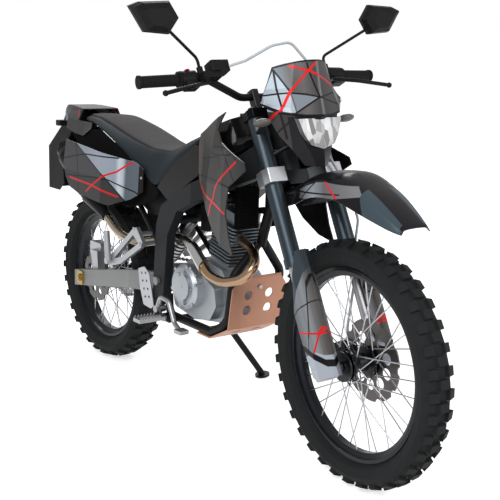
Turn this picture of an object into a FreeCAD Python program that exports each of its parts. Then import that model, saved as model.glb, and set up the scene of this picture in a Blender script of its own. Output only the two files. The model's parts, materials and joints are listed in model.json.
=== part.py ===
import FreeCAD, Part
import math
import os

# Trail motorcycle, millimetres. It is drawn upright with straight steering, +X forward, +Y to the
# rider's left and +Z up, and is then turned at the steering, leaned on its side stand and set down.

# Overall layout
REAR_AXLE_X = -690.0
FRONT_RADIUS = 348.0
REAR_RADIUS = 320.0
FRONT_CROWN = 46.0
REAR_CROWN = 56.0
HEAD_X = 350.0
HEAD_Z = 900.0
RAKE_DEG = 27.0
AXLE_OFFSET = 62.0
LEAN_DEG = 9.0
STEER_REST_DEG = -4.0
ORIGIN_X = -38.0
ORIGIN_Y = 195.0

# Fits
AXLE_R = 8.0
RUNNING_GAP = 0.05
SEAT_GAP = 0.3
WHEEL_SIDE_GAP = 3.0

# Wheels
FRONT_TYRE_H = 76.0
REAR_TYRE_H = 80.0
FRONT_RIM_R = FRONT_RADIUS - FRONT_TYRE_H
REAR_RIM_R = REAR_RADIUS - REAR_TYRE_H
BEAD_DEPTH = 6.0
FRONT_RIM_HALF = 24.0
REAR_RIM_HALF = 31.0
RIM_DEPTH = 26.0
RIM_WALL = 4.0
LUG_HEIGHT = 11.0
FRONT_PITCHES = 36
REAR_PITCHES = 32
MIDDLE_LUG = (0.06, 0.46)
SHOULDER_LUG = (0.54, 0.96)
SPOKES = 36
SPOKE_R = 1.8
HUB_BARREL_R = 24.0
HUB_END_R = 42.0
HUB_END_T = 6.0
FRONT_FLANGE_R = 42.0
REAR_FLANGE_R = 52.0
FRONT_FLANGE_Y = 32.0
REAR_FLANGE_Y = 36.0
FLANGE_T = 7.0
FRONT_HUB_HALF = 52.0
REAR_HUB_HALF = 58.0
FRONT_DISC_R = 118.0
REAR_DISC_R = 98.0
DISC_T = 4.0
DISC_INNER_R = 34.0
FRONT_DISC_Y = FRONT_HUB_HALF + DISC_T / 2
REAR_DISC_Y = -REAR_HUB_HALF - DISC_T / 2

# Fork and steering
FORK_U = 40.0
FORK_Y = 100.0
OUTER_TUBE_R = 25.0
OUTER_TUBE_TOP = 112.0
OUTER_TUBE_LOW = -354.0
INNER_TUBE_R = 19.0
LUG_W = 40.0
CLAMP_TOP_S = 86.0
CLAMP_TOP_T = 24.0
CLAMP_LOW_S = -112.0
CLAMP_LOW_T = 42.0
MASK_T = 3.2
LAMP_TOP = 108.0
LAMP_HALF = 74.0
STEM_R = 14.0
HEAD_TUBE_R = 30.0
BAR_R = 11.1
BAR_U = -20.0
BAR_S = 179.0
GRIP_U = -3.0
GRIP_S = 235.0
GRIP_IN = 285.0
BAR_END = 412.0
GRIP_R = 17.0

# Frame and chassis
BEAM_IN = 104.0
BEAM_T = 32.0
BEAM_TOP_BEND = (110.0, 800.0)
BEAM_TOP_FRONT = (HEAD_X - 20, HEAD_Z + 44)
PIVOT_X = -127.0
PIVOT_Z = 425.0
PIVOT_R = 8.0
ARM_Y = 115.0
ARM_T = 28.0
ARM_H = 60.0
CRADLE_R = 14.0
CRADLE_Y = 89.7
RAIL_R = 12.0
RAIL_Y = 72.0
RAIL_BEND = (-260.0, 792.0)
RAIL_END = (-860.0, 877.6)
CROSS_R = 14.0
STAY_R = 9.0
STAY_TOP = (-560.0, RAIL_Y, 832.0)
PANEL_PEGS = (-366.0, -470.0)
PEG_R = 8.0
SHOCK_TOP_X = -110.0
SHOCK_TOP_Z = 628.0
CHAIN_Y = 66.0
REAR_SPROCKET_R = 92.0
FRONT_SPROCKET_R = 30.0
COUNTERSHAFT_X = -52.0
COUNTERSHAFT_Z = 436.0
CHAIN_W = 14.0
TANK_HALF = 116.0
SPROCKET_T = 6.0
PLATE_X = -1120.0
PLATE_T = 4.0
PLATE_HALF = 50.0
PLATE_HOLE_Y = 30.0
PLATE_HOLE_Z = 640.0
PLATE_HOLE_R = 3.25

# Engine
CYL_X = 105.0
CYL_Z = 525.0
CYL_TILT_DEG = 12.0
FIN_COUNT = 7
HEAD_FIN_COUNT = 5
FIN_PITCH = 11.0
FIN_T = 4.5
CLUTCH_X = 35.0
CLUTCH_Z = 440.0
CLUTCH_R = 72.0

HEADER_R = 15.0
SHIELD_R = 20.0
SILENCER_R = 42.0
HOSE_R = 4.0

# Side stand
STAND_X = -112.0
STAND_Y = 122.0
STAND_Z = 262.0
STAND_FOOT_X = -62.0
STAND_FOOT_Y = 268.0
STAND_R = 11.0
STAND_PIN_R = 6.0
STAND_LUG_T = 10.0
STAND_TIP_X = -0.206
STAND_TIP_Z = 0.152

V = FreeCAD.Vector
RAKE = math.radians(RAKE_DEG)
X_AXIS = V(1, 0, 0)
Y_AXIS = V(0, 1, 0)
Z_AXIS = V(0, 0, 1)
AXLE_S = (FRONT_RADIUS - HEAD_Z - AXLE_OFFSET * math.sin(RAKE)) / math.cos(RAKE)


def fork_point(u, y, s):
    """Upright place of a point u ahead of the steering axis and s along it from the head's middle."""
    return V(
        HEAD_X + u * math.cos(RAKE) - s * math.sin(RAKE),
        y,
        HEAD_Z + u * math.sin(RAKE) + s * math.cos(RAKE),
    )


FRONT_AXLE = fork_point(AXLE_OFFSET, 0, AXLE_S)
REAR_AXLE = V(REAR_AXLE_X, 0, REAR_RADIUS)
STEER_AXIS = V(-math.sin(RAKE), 0, math.cos(RAKE))
STAND_PIVOT = V(STAND_X, STAND_Y, STAND_Z)
STAND_AXIS = V(STAND_TIP_X, 1, STAND_TIP_Z).normalize()


# Shapes that many pieces share


def wire(points):
    return Part.makePolygon([V(*p) for p in points] + [V(*points[0])])


def plate_xz(points, y_low, y_high):
    """Prism of an outline in X and Z between two values of Y."""
    face = Part.Face(wire([(x, y_low, z) for x, z in points]))
    return face.extrude(V(0, y_high - y_low, 0))


def plate_xy(points, z_low, z_high):
    face = Part.Face(wire([(x, y, z_low) for x, y in points]))
    return face.extrude(V(0, 0, z_high - z_low))


def plate_yz(points, x_low, x_high):
    face = Part.Face(wire([(x_low, y, z) for y, z in points]))
    return face.extrude(V(x_high - x_low, 0, 0))


def rod(start, end, radius):
    start, end = V(*start), V(*end)
    return Part.makeCylinder(radius, (end - start).Length, start, end - start)


def ring_y(centre, half_width, outer_r, inner_r, y_mid=0.0):
    low = V(centre.x, y_mid - half_width, centre.z)
    solid = Part.makeCylinder(outer_r, 2 * half_width, low, Y_AXIS)
    return solid.cut(Part.makeCylinder(inner_r, 2 * half_width, low, Y_AXIS))


def disc_y(x, z, y_low, y_high, radius):
    return Part.makeCylinder(radius, y_high - y_low, V(x, y_low, z), Y_AXIS)


def box(x0, x1, y0, y1, z0, z1):
    return Part.makeBox(x1 - x0, y1 - y0, z1 - z0, V(x0, y0, z0))


def mirrored(shape):
    return shape.mirror(V(0, 0, 0), Y_AXIS)


def pair(shape):
    """A right-hand piece and its left-hand twin."""
    return Part.makeCompound([shape, mirrored(shape)])


def fused(shapes):
    return shapes[0].multiFuse(shapes[1:]) if len(shapes) > 1 else shapes[0]


def revolve_y(profile, centre):
    """Turns a closed (y, radius) profile about the Y axis through centre."""
    face = Part.Face(wire([(centre.x, y, centre.z + r) for y, r in profile]))
    return face.revolve(centre, Y_AXIS, 360)


def bent_path(points, radii):
    """Straight runs joined by tangent arcs, one bend radius for each inner point."""
    points = [V(*p) for p in points]
    edges = []
    start = points[0]
    for i, bend in enumerate(radii):
        before, corner, after = points[i], points[i + 1], points[i + 2]
        back = (before - corner).normalize()
        ahead = (after - corner).normalize()
        turn = math.pi - back.getAngle(ahead)
        setback = bend * math.tan(turn / 2)
        arc_in = corner + back * setback
        arc_out = corner + ahead * setback
        middle = (back + ahead).normalize()
        arc_mid = corner + middle * (math.hypot(bend, setback) - bend)
        if (arc_in - start).Length > 1e-6:
            edges.append(Part.LineSegment(start, arc_in).toShape())
        edges.append(Part.Arc(arc_in, arc_mid, arc_out).toShape())
        start = arc_out
    edges.append(Part.LineSegment(start, points[-1]).toShape())
    return Part.Wire(edges)


def wide_bends(points):
    """The widest bends that still leave a tenth of each run straight."""
    points = [V(*p) for p in points]
    radii = []
    for before, corner, after in zip(points, points[1:], points[2:]):
        back, ahead = before - corner, after - corner
        turn = math.pi - back.getAngle(ahead)
        radii.append(0.45 * min(back.Length, ahead.Length) / math.tan(turn / 2))
    return radii


def tube(points, radii, radius):
    path = bent_path(points, radii)
    points = [V(*p) for p in points]
    section = Part.Wire(Part.makeCircle(radius, points[0], points[1] - points[0]))
    return path.makePipeShell([section], True, False)


def loft(sections):
    return Part.makeLoft([wire(s) for s in sections], True, True)


def eased(stations):
    """Stations with one more in the middle of each gap, on a smooth curve through its neighbours."""
    rows = [stations[0]]
    last = len(stations) - 1
    for i in range(last):
        before, start = stations[max(i - 1, 0)], stations[i]
        end, after = stations[i + 1], stations[min(i + 2, last)]
        rows.append(tuple((9 * b + 9 * c - a - d) / 16 for a, b, c, d in zip(before, start, end, after)))
        rows.append(end)
    return rows


def fillet_long(shape, radius, direction):
    """Rounds the straight edges that run along a direction."""
    chosen = [
        e
        for e in shape.Edges
        if isinstance(e.Curve, Part.Line)
        and abs(abs(e.tangentAt(e.FirstParameter).dot(direction)) - 1) < 1e-6
    ]
    return shape.makeFillet(radius, chosen)


def to_fork(shape):
    """From steering coordinates (u, y, s) to the upright motorcycle."""
    placed = shape.copy()
    placed.rotate(V(0, 0, 0), Y_AXIS, -RAKE_DEG)
    placed.translate(V(HEAD_X, 0, HEAD_Z))
    return placed


# Wheels


def tread_section(radius, crown, height):
    """Half section of a tread: its middle band and its shoulder band, at a lug height."""
    share = height / LUG_HEIGHT
    middle = (crown * (0.34 - 0.03 * share), radius - LUG_HEIGHT + height)
    inner = (crown * (0.34 + 0.05 * share), radius - LUG_HEIGHT - 0.3 + 0.86 * height)
    outer = (crown * (0.8 + 0.12 * share), radius - LUG_HEIGHT - 10 + 0.8 * height)
    return middle, inner, outer


def around(centre, pitch, step, share, y, r):
    """Point on the chord of one pitch, at a share of its length."""
    a0 = pitch * step - math.pi / 2 - step / 2
    a1 = a0 + step
    x = (1 - share) * math.cos(a0) + share * math.cos(a1)
    z = (1 - share) * math.sin(a0) + share * math.sin(a1)
    return (centre.x + r * x, centre.y + y, centre.z + r * z)


def tread_tips(centre, radius, crown, pitches):
    """Corners of all lugs, which are what meets the ground."""
    middle, inner, outer = tread_section(radius, crown, LUG_HEIGHT)
    step = 2 * math.pi / pitches
    tips = []
    for i in range(pitches):
        for share in MIDDLE_LUG:
            tips += [around(centre, i, step, share, side * middle[0], middle[1]) for side in (-1, 1)]
        for share in SHOULDER_LUG:
            for y, r in (inner, outer):
                tips += [around(centre, i, step, share, side * y, r) for side in (-1, 1)]
    return [V(*tip) for tip in tips]


def tyre(centre, radius, crown, rim_r, rim_half, pitches):
    """Knobbly tyre as one closed skin: for each pitch a middle lug and then a lug on each shoulder."""
    step = 2 * math.pi / pitches
    low = tread_section(radius, crown, 0)
    high = tread_section(radius, crown, LUG_HEIGHT)
    edge_y = low[0][0]
    seat = rim_half - RIM_WALL - SEAT_GAP
    bead_r = (rim_r - BEAD_DEPTH + SEAT_GAP) / math.cos(step / 2)
    wall = [
        low[2],
        (crown, rim_r + 0.5 * (radius - rim_r)),
        (crown * 0.84, rim_r + 14),
        (seat, rim_r + 2),
        (seat, bead_r),
    ]
    m0, m1 = MIDDLE_LUG
    s0, s1 = SHOULDER_LUG
    faces = []

    def add(*corners):
        faces.append(Part.Face(Part.makePolygon([V(*c) for c in corners] + [V(*corners[0])])))

    for i in range(pitches):

        def at(share, y, r, pitch=i):
            return around(centre, pitch, step, share, y, r)

        base = low[0][1]
        top_y, top_r = high[0]
        add(at(m0, -top_y, top_r), at(m1, -top_y, top_r), at(m1, top_y, top_r), at(m0, top_y, top_r))
        for share in (m0, m1):
            add(
                at(share, -edge_y, base),
                at(share, -top_y, top_r),
                at(share, top_y, top_r),
                at(share, edge_y, base),
            )
        add(at(0, -edge_y, base), at(m0, -edge_y, base), at(m0, edge_y, base), at(0, edge_y, base))
        floor = [(m1, 1), (s0, 1), (s1, 1), (1, 1), (1, -1), (s1, -1), (s0, -1), (m1, -1)]
        add(*[at(share, side * edge_y, base) for share, side in floor])
        for side in (-1, 1):
            add(
                at(m0, side * edge_y, base),
                at(m1, side * edge_y, base),
                at(m1, side * top_y, top_r),
                at(m0, side * top_y, top_r),
            )
            y0, r0 = side * low[0][0], low[0][1]
            y1, r1 = side * low[2][0], low[2][1]
            u0, q0 = side * high[1][0], high[1][1]
            u1, q1 = side * high[2][0], high[2][1]
            add(at(s0, u0, q0), at(s1, u0, q0), at(s1, u1, q1), at(s0, u1, q1))
            for share in (s0, s1):
                add(at(share, y0, r0), at(share, u0, q0), at(share, u1, q1), at(share, y1, r1))
            add(at(s0, y0, r0), at(s1, y0, r0), at(s1, u0, q0), at(s0, u0, q0))
            add(at(s0, y1, r1), at(s1, y1, r1), at(s1, u1, q1), at(s0, u1, q1))
            inner_edge = [at(share, y0, r0) for share in (0, m0, m1, s0)]
            add(*inner_edge, at(s0, y1, r1), at(0, y1, r1))
            add(at(s1, y0, r0), at(1, y0, r0), at(1, y1, r1), at(s1, y1, r1))
            ya, ra = side * wall[1][0], wall[1][1]
            outer_edge = [at(share, y1, r1) for share in (0, s0, s1, 1)]
            add(*outer_edge, at(1, ya, ra), at(0, ya, ra))
            for (ya, ra), (yb, rb) in zip(wall[1:], wall[2:]):
                ya, yb = side * ya, side * yb
                add(at(0, ya, ra), at(1, ya, ra), at(1, yb, rb), at(0, yb, rb))
        y, r = wall[-1]
        add(at(0, -y, r), at(1, -y, r), at(1, y, r), at(0, y, r))
    shell = Part.makeShell(faces)
    shell.sewShape()
    return Part.makeSolid(shell)


def rim(centre, rim_r, half):
    well = rim_r - RIM_DEPTH
    seat_r = rim_r - BEAD_DEPTH
    profile = [
        (-half, rim_r),
        (-half + RIM_WALL, rim_r),
        (-half + RIM_WALL, seat_r),
        (-half + 9, seat_r),
        (-half * 0.4, well + RIM_WALL),
        (half * 0.4, well + RIM_WALL),
        (half - 9, seat_r),
        (half - RIM_WALL, seat_r),
        (half - RIM_WALL, rim_r),
        (half, rim_r),
        (half, seat_r - 4),
        (half - 9, seat_r - 5),
        (half * 0.4, well),
        (-half * 0.4, well),
        (-half + 9, seat_r - 5),
        (-half, seat_r - 4),
    ]
    return revolve_y(profile, centre)


def spoked_hub(centre, rim_r, flange_r, flange_y, hub_half):
    """Hub with two spoke flanges and its laced spokes, bored for the axle."""
    bore = AXLE_R + RUNNING_GAP
    waist = HUB_BARREL_R
    profile = [
        (-hub_half, bore),
        (-hub_half, HUB_END_R),
        (-hub_half + HUB_END_T, HUB_END_R),
        (-hub_half + HUB_END_T, waist),
        (-flange_y - FLANGE_T, waist + 4),
        (-flange_y - FLANGE_T, flange_r),
        (-flange_y, flange_r),
        (-flange_y + 6, waist + 2),
        (0, waist - 2),
        (flange_y - 6, waist + 2),
        (flange_y, flange_r),
        (flange_y + FLANGE_T, flange_r),
        (flange_y + FLANGE_T, waist + 4),
        (hub_half - HUB_END_T, waist),
        (hub_half - HUB_END_T, HUB_END_R),
        (hub_half, HUB_END_R),
        (hub_half, bore),
    ]
    pieces = [revolve_y(profile, centre)]
    well = rim_r - RIM_DEPTH
    reach = well + 2
    per_side = SPOKES // 2
    step = 2 * math.pi / per_side
    for i in range(SPOKES):
        side = -1 if i % 2 else 1
        k = i // 2
        lean = 1 if k % 2 else -1
        at_rim = (k + 0.25 * side) * step
        at_hub = at_rim + lean * 1.05
        out = 1.8 if lean > 0 else -1.8
        hub_y = side * (flange_y + FLANGE_T / 2 + out)
        start = (
            centre.x + (flange_r - 5) * math.cos(at_hub),
            hub_y,
            centre.z + (flange_r - 5) * math.sin(at_hub),
        )
        end = (
            centre.x + reach * math.cos(at_rim),
            side * 5.0,
            centre.z + reach * math.sin(at_rim),
        )
        pieces.append(rod(start, end, SPOKE_R))
    room = disc_y(centre.x, centre.z, -hub_half, hub_half, well - SEAT_GAP)
    return fused(pieces).common(room)


def brake_disc(centre, radius, y_mid, waves):
    """Wave-edged disc with windows and a bolted centre."""
    low, high = y_mid - DISC_T / 2, y_mid + DISC_T / 2
    body = disc_y(centre.x, centre.z, low, high, radius)
    body = body.cut(disc_y(centre.x, centre.z, low, high, DISC_INNER_R))
    cutters = []
    for i in range(waves):
        a = 2 * math.pi * i / waves
        edge_r = radius + 6
        x, z = centre.x + edge_r * math.cos(a), centre.z + edge_r * math.sin(a)
        cutters.append(disc_y(x, z, low, high, 15))
        b = a + math.pi / waves
        window_r = 0.5 * (radius + DISC_INNER_R) - 6
        x, z = centre.x + window_r * math.cos(b), centre.z + window_r * math.sin(b)
        cutters.append(disc_y(x, z, low, high, 0.145 * radius))
    return body.cut(cutters)


def sprocket():
    """Rear sprocket with pointed teeth, inside the chain's path."""
    teeth = 45
    root_r = REAR_SPROCKET_R - 9
    tip_r = REAR_SPROCKET_R - 2
    points = []
    for i in range(teeth):
        for share, r in ((0.0, root_r), (0.3, tip_r), (0.5, tip_r), (0.8, root_r)):
            a = 2 * math.pi * (i + share) / teeth
            points.append((REAR_AXLE.x + r * math.cos(a), REAR_AXLE.z + r * math.sin(a)))
    low = CHAIN_Y - SPROCKET_T / 2
    high = CHAIN_Y + SPROCKET_T / 2
    body = plate_xz(points, low, high)
    cutters = [disc_y(REAR_AXLE.x, REAR_AXLE.z, low, high, 30)]
    for i in range(6):
        a = math.radians(60 * i)
        x, z = REAR_AXLE.x + 58 * math.cos(a), REAR_AXLE.z + 58 * math.sin(a)
        cutters.append(disc_y(x, z, low, high, 16))
    body = body.cut(cutters)
    carrier = ring_y(REAR_AXLE, 0.5 * (high - REAR_HUB_HALF), 34, AXLE_R + 4, 0.5 * (high + REAR_HUB_HALF))
    return body.fuse(carrier)


# Fork, axle and steering, in steering coordinates


def fork_outer_tubes():
    """Upper legs of the upside-down fork, with a stepped collar at the foot."""
    s0, s1 = OUTER_TUBE_LOW, OUTER_TUBE_TOP
    body = Part.makeCylinder(OUTER_TUBE_R, s1 - s0, V(FORK_U, -FORK_Y, s0))
    collar = Part.makeCylinder(OUTER_TUBE_R + 2.5, 26, V(FORK_U, -FORK_Y, s0))
    cap = Part.makeCylinder(17, 8, V(FORK_U, -FORK_Y, s1), Z_AXIS)
    bore = Part.makeCylinder(INNER_TUBE_R + RUNNING_GAP, 150, V(FORK_U, -FORK_Y, s0))
    return pair(fused([body, collar, cap]).cut(bore))


def fork_inner_tubes():
    """Sliding tubes with the axle lugs at their feet."""
    top = OUTER_TUBE_LOW + 120
    foot = AXLE_S + 26
    slide = Part.makeCylinder(INNER_TUBE_R, top - foot, V(FORK_U, -FORK_Y, foot))
    lug_u0, lug_u1 = FORK_U - 24, AXLE_OFFSET + 22
    y0 = -FORK_Y - LUG_W / 2
    profile = [
        (lug_u0, AXLE_S + 44),
        (FORK_U + 24, AXLE_S + 44),
        (lug_u1, AXLE_S + 14),
        (lug_u1, AXLE_S - 16),
        (lug_u1 - 12, AXLE_S - 26),
        (lug_u0 + 16, AXLE_S - 26),
        (lug_u0, AXLE_S - 6),
    ]
    lug = fillet_long(plate_xz(profile, y0, y0 + LUG_W), 6, Y_AXIS)
    bore = disc_y(AXLE_OFFSET, AXLE_S, y0 - 1, y0 + LUG_W + 1, AXLE_R + RUNNING_GAP)
    return pair(fused([slide, lug]).cut(bore))


def fork_guards():
    """Moulded shields in front of the sliding tubes."""
    top_s, low_s = OUTER_TUBE_LOW + 36, AXLE_S - 22
    outer = [
        (FORK_U - 14, -FORK_Y - 33),
        (FORK_U + 24, -FORK_Y - 34),
        (FORK_U + 56, -FORK_Y - 20),
        (FORK_U + 62, -FORK_Y + 4),
        (FORK_U + 48, -FORK_Y + 26),
    ]
    inner = [(u - 3.4 if u > FORK_U + 30 else u, y + 3.6) for u, y in outer]
    inner[-1] = (FORK_U + 43, -FORK_Y + 24)
    shell = plate_xy(outer + inner[::-1], low_s, top_s)
    side = [
        (FORK_U - 16, low_s + 190),
        (FORK_U + 48, top_s),
        (FORK_U + 64, top_s),
        (FORK_U + 64, low_s),
        (FORK_U + 6, low_s),
        (FORK_U - 10, low_s + 60),
    ]
    cut = plate_xz(side, -FORK_Y - 40, -FORK_Y + 40)
    guard = shell.common(cut)
    tab = box(FORK_U + 14, FORK_U + 58, -FORK_Y - 14, -FORK_Y + 8, AXLE_S + 45, AXLE_S + 53)
    tube_room = Part.makeCylinder(INNER_TUBE_R + SEAT_GAP, 200, V(FORK_U, -FORK_Y, AXLE_S - 20))
    return pair(guard.fuse(tab.cut(tube_room)))


def triple_clamps():
    """Upper and lower yokes on one stem."""

    def yoke(s0, thickness, reach):
        outline = [
            (FORK_U + reach, -FORK_Y - reach + 6),
            (FORK_U + reach, -FORK_Y + reach - 4),
            (STEM_R + 18, -34),
            (STEM_R + 18, 34),
            (FORK_U + reach, FORK_Y - reach + 4),
            (FORK_U + reach, FORK_Y + reach - 6),
            (FORK_U + 8, FORK_Y + reach),
            (FORK_U - reach + 4, FORK_Y + reach - 4),
            (FORK_U - reach - 4, FORK_Y - 14),
            (-30, 30),
            (-34, 0),
            (-30, -30),
            (FORK_U - reach - 4, -FORK_Y + 14),
            (FORK_U - reach + 4, -FORK_Y - reach + 4),
            (FORK_U + 8, -FORK_Y - reach),
        ]
        body = fillet_long(plate_xy(outline, s0, s0 + thickness), 5, Z_AXIS)
        for y in (-FORK_Y, FORK_Y):
            body = body.cut(
                Part.makeCylinder(OUTER_TUBE_R + RUNNING_GAP, thickness, V(FORK_U, y, s0))
            )
        return body

    stem = Part.makeCylinder(STEM_R, CLAMP_TOP_S - CLAMP_LOW_S, V(0, 0, CLAMP_LOW_S))
    nut = Part.makeCylinder(15, 8, V(0, 0, CLAMP_TOP_S + CLAMP_TOP_T))
    risers = []
    for y in (-44, 44):
        riser = box(BAR_U - 16, BAR_U + 16, y - 12, y + 12, CLAMP_TOP_S + CLAMP_TOP_T - 1, BAR_S + 20)
        risers.append(fillet_long(riser, 6, Z_AXIS))
    body = fused(
        [
            yoke(CLAMP_LOW_S, CLAMP_LOW_T, 34),
            yoke(CLAMP_TOP_S, CLAMP_TOP_T, 31),
            stem,
            nut,
        ]
        + risers
    )
    bar_bore = Part.makeCylinder(BAR_R + RUNNING_GAP, 160, V(BAR_U, -80, BAR_S), Y_AXIS)
    return body.cut(bar_bore)


def bar_tube(radius):
    points = [
        (GRIP_U - 14, -BAR_END + 4, GRIP_S),
        (GRIP_U, -205, GRIP_S),
        (BAR_U, -92, BAR_S),
        (BAR_U, 92, BAR_S),
        (GRIP_U, 205, GRIP_S),
        (GRIP_U - 14, BAR_END - 4, GRIP_S),
    ]
    return tube(points, [70, 50, 50, 70], radius)


def handlebar():
    return bar_tube(BAR_R)


def bar_direction():
    end = V(GRIP_U - 14, -BAR_END + 4, GRIP_S)
    return (end - V(GRIP_U, -205, GRIP_S)).normalize()


def on_bar(distance):
    """Point on the right half of the bar's outer straight, at that |y|."""
    start = V(GRIP_U, -205, GRIP_S)
    along = bar_direction()
    return start + along * ((distance - 205) / abs(along.y))


def sleeve(y_in, y_out, radius, gap=SEAT_GAP):
    """Ring round the right grip's part of the bar."""
    start, end = on_bar(y_in), on_bar(y_out)
    length = (end - start).Length
    body = Part.makeCylinder(radius, length, start, end - start)
    return body.cut(Part.makeCylinder(BAR_R + gap, length, start, end - start))


def grips():
    body = sleeve(GRIP_IN, BAR_END - 6, GRIP_R)
    flange = sleeve(GRIP_IN, GRIP_IN + 6, GRIP_R + 7)
    knob = Part.makeCylinder(GRIP_R + 2, 7, on_bar(BAR_END - 6), bar_direction())
    cap = knob.cut(Part.makeCylinder(BAR_R + SEAT_GAP, 5, on_bar(BAR_END - 6), bar_direction()))
    return pair(fused([body, flange, cap]))


def bar_controls():
    """Switch housings and lever perches on both sides, and the brake fluid reservoir on the right."""
    switch = sleeve(GRIP_IN - 46, GRIP_IN - 1, 25)
    throat = box(GRIP_U - 12, GRIP_U + 20, -GRIP_IN + 6, -GRIP_IN + 44, GRIP_S - 34, GRIP_S - 14)
    perch = sleeve(212, GRIP_IN - 48, 19)
    ear = box(GRIP_U + 10, GRIP_U + 44, -GRIP_IN + 50, -GRIP_IN + 70, GRIP_S - 22, GRIP_S + 4)
    boss = Part.makeCylinder(9, 26, V(GRIP_U + 14, -224, GRIP_S + 2))
    bar_room = bar_tube(BAR_R + SEAT_GAP)
    half = fused([perch, ear, boss]).cut(bar_room)
    right_half = fused([half, box(GRIP_U + 18, GRIP_U + 46, -232, -176, GRIP_S - 16, GRIP_S + 2)])
    reservoir = box(GRIP_U + 6, GRIP_U + 52, -205, -145, GRIP_S + 2, GRIP_S + 34)
    reservoir = fillet_long(reservoir, 6, Z_AXIS).cut(bar_room)
    right = fused([right_half, reservoir]).cut(bar_room)
    switch = fused([switch, throat.cut(bar_room)])
    return Part.makeCompound([right, switch, mirrored(half), mirrored(switch)])


def levers():
    root = V(GRIP_U + 34, -GRIP_IN + 60, GRIP_S - 28.1)
    points = [
        tuple(root),
        (GRIP_U + 66, -GRIP_IN - 4, GRIP_S - 50),
        (GRIP_U + 84, -BAR_END + 20, GRIP_S - 76),
    ]
    blade = tube(points, [60], 6.0)
    ball = Part.makeSphere(8.5, V(*points[-1]))
    pivot = Part.makeCylinder(10, 6, root + V(0, 2, -3))
    return pair(fused([blade, ball, pivot]))


def mirrors():
    """Stems in steering coordinates, and the upright six-cornered housings that face the rider."""
    base = V(GRIP_U + 14, -224, GRIP_S + 28.3)
    head = V(GRIP_U + 112, -366, GRIP_S + 111)
    stem = tube([tuple(base), (GRIP_U + 14, -224, GRIP_S + 56), tuple(head)], [18], 4.5)
    mid = fork_point(GRIP_U + 129, -393, GRIP_S + 122)
    front = [(-75, 30), (-44, 41), (45, 45), (75, 0), (43, -44), (-31, -38)]
    sections = []
    for ahead, share in ((-18, 1.0), (-6, 1.0), (10, 0.88), (20, 0.55)):
        sections.append([(mid.x + ahead, mid.y + share * y, mid.z + share * z) for y, z in front])
    return stem, loft(sections)


def front_fender():
    """High mudguard under the lower yoke, arched across and drooping to its tip."""
    stations = eased(
        [
            (-60, -122, 58, 10, 30),
            (74, -144, 64, 16, 38),
            (170, -158, 86, 20, 52),
            (290, -196, 92, 22, 60),
            (385, -262, 78, 16, 46),
            (452, -352, 52, 8, 26),
            (476, -402, 32, 4, 12),
        ]
    )
    wall = 3.5

    def arch(u, s, half, rise, drop, inset, below):
        side = half - inset
        heights = [-drop - below, -0.3 * inset, 0.8 * rise - inset, rise - inset]
        widths = [1.0, 0.86, 0.5, 0.0]
        left = [(u + 0.35 * h, w * side, s + h) for w, h in zip(widths, heights)]
        right = [(x, -y, z) for x, y, z in left[:-1]]
        return right + left[::-1]

    outer = loft([arch(*station, 0, 0) for station in stations])
    inner = loft([arch(*station, wall, 6) for station in stations[:-1]])
    behind = stations[0]
    rear = loft([arch(behind[0] - 30, *behind[1:], wall, 6), arch(*behind, wall, 6)])
    bosses = [Part.makeCylinder(9, 11, V(10, y, CLAMP_LOW_S - SEAT_GAP - 11)) for y in (-18, 18)]
    return fused([outer.cut([inner, rear])] + bosses)


def at_head(shape):
    """From the head's middle, but upright, to the upright motorcycle."""
    placed = shape.copy()
    placed.translate(V(HEAD_X, 0, HEAD_Z))
    return placed


def folded_shell(levels):
    """Shell of level cross-sections, each folded at its nose and at two creases."""

    def plan(z, x, half, bend_x, bend_half, nose, inset):
        return [
            (x, -half + inset, z),
            (bend_x - inset, -bend_half + 0.5 * inset, z),
            (nose - inset, 0, z),
            (bend_x - inset, bend_half - 0.5 * inset, z),
            (x, half - inset, z),
        ]

    return loft([plan(*level, 0) + plan(*level, MASK_T)[::-1] for level in levels])


def lamp_outline(grow):
    top, middle, low = LAMP_TOP + grow, 66.0, 36.0 - grow
    return [
        (-LAMP_HALF - grow, top),
        (LAMP_HALF + grow, top),
        (60 + grow, middle),
        (40 + grow, low),
        (0, low - 12),
        (-40 - grow, low),
        (-60 - grow, middle),
    ]


def headlight_mask():
    """Visor that overhangs the lamp, and the cheeks and chin below it, upright about the head."""
    visor = folded_shell(
        [
            (256, 66, 96, 112, 52, 146),
            (190, 68, 120, 126, 68, 162),
            (136, 76, 142, 142, 84, 182),
            (117, 78, 140, 150, 82, 187),
        ]
    )
    cheeks = folded_shell(
        [
            (134, 92, 134, 146, 78, 174),
            (96, 88, 118, 150, 70, 171),
            (56, 104, 92, 160, 56, 178),
            (16, 128, 62, 172, 36, 189),
            (-24, 148, 36, 180, 20, 195),
        ]
    )
    return visor.fuse(cheeks).cut(plate_yz(lamp_outline(0), 118, 260))


def headlight():
    """Lamp with a sloping lens, its bucket and the arms from the fork's legs."""
    slope = [(118, LAMP_TOP), (166, LAMP_TOP), (186, 24), (126, 24)]
    body = plate_yz(lamp_outline(-SEAT_GAP), 110, 260).common(plate_xz(slope, -90, 90))
    bucket = Part.makeCylinder(38, 46, V(86, 0, 68), X_AXIS)
    lamp = at_head(fused([body, bucket]))
    arms = [rod((FORK_U + 18, y, -27), (116, 0.2 * y, -6), 7) for y in (-84, 84)]
    legs = [Part.makeCylinder(OUTER_TUBE_R + SEAT_GAP, 80, V(FORK_U, y, -60)) for y in (-FORK_Y, FORK_Y)]
    return fused([lamp, to_fork(fused(arms).cut(legs))])


def instrument():
    top = CLAMP_TOP_S + CLAMP_TOP_T
    body = fillet_long(box(96, 150, -46, 46, top + 6, top + 36), 10, X_AXIS)
    return body.fuse(box(18, 120, -14, 14, top + SEAT_GAP, top + 7))


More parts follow.
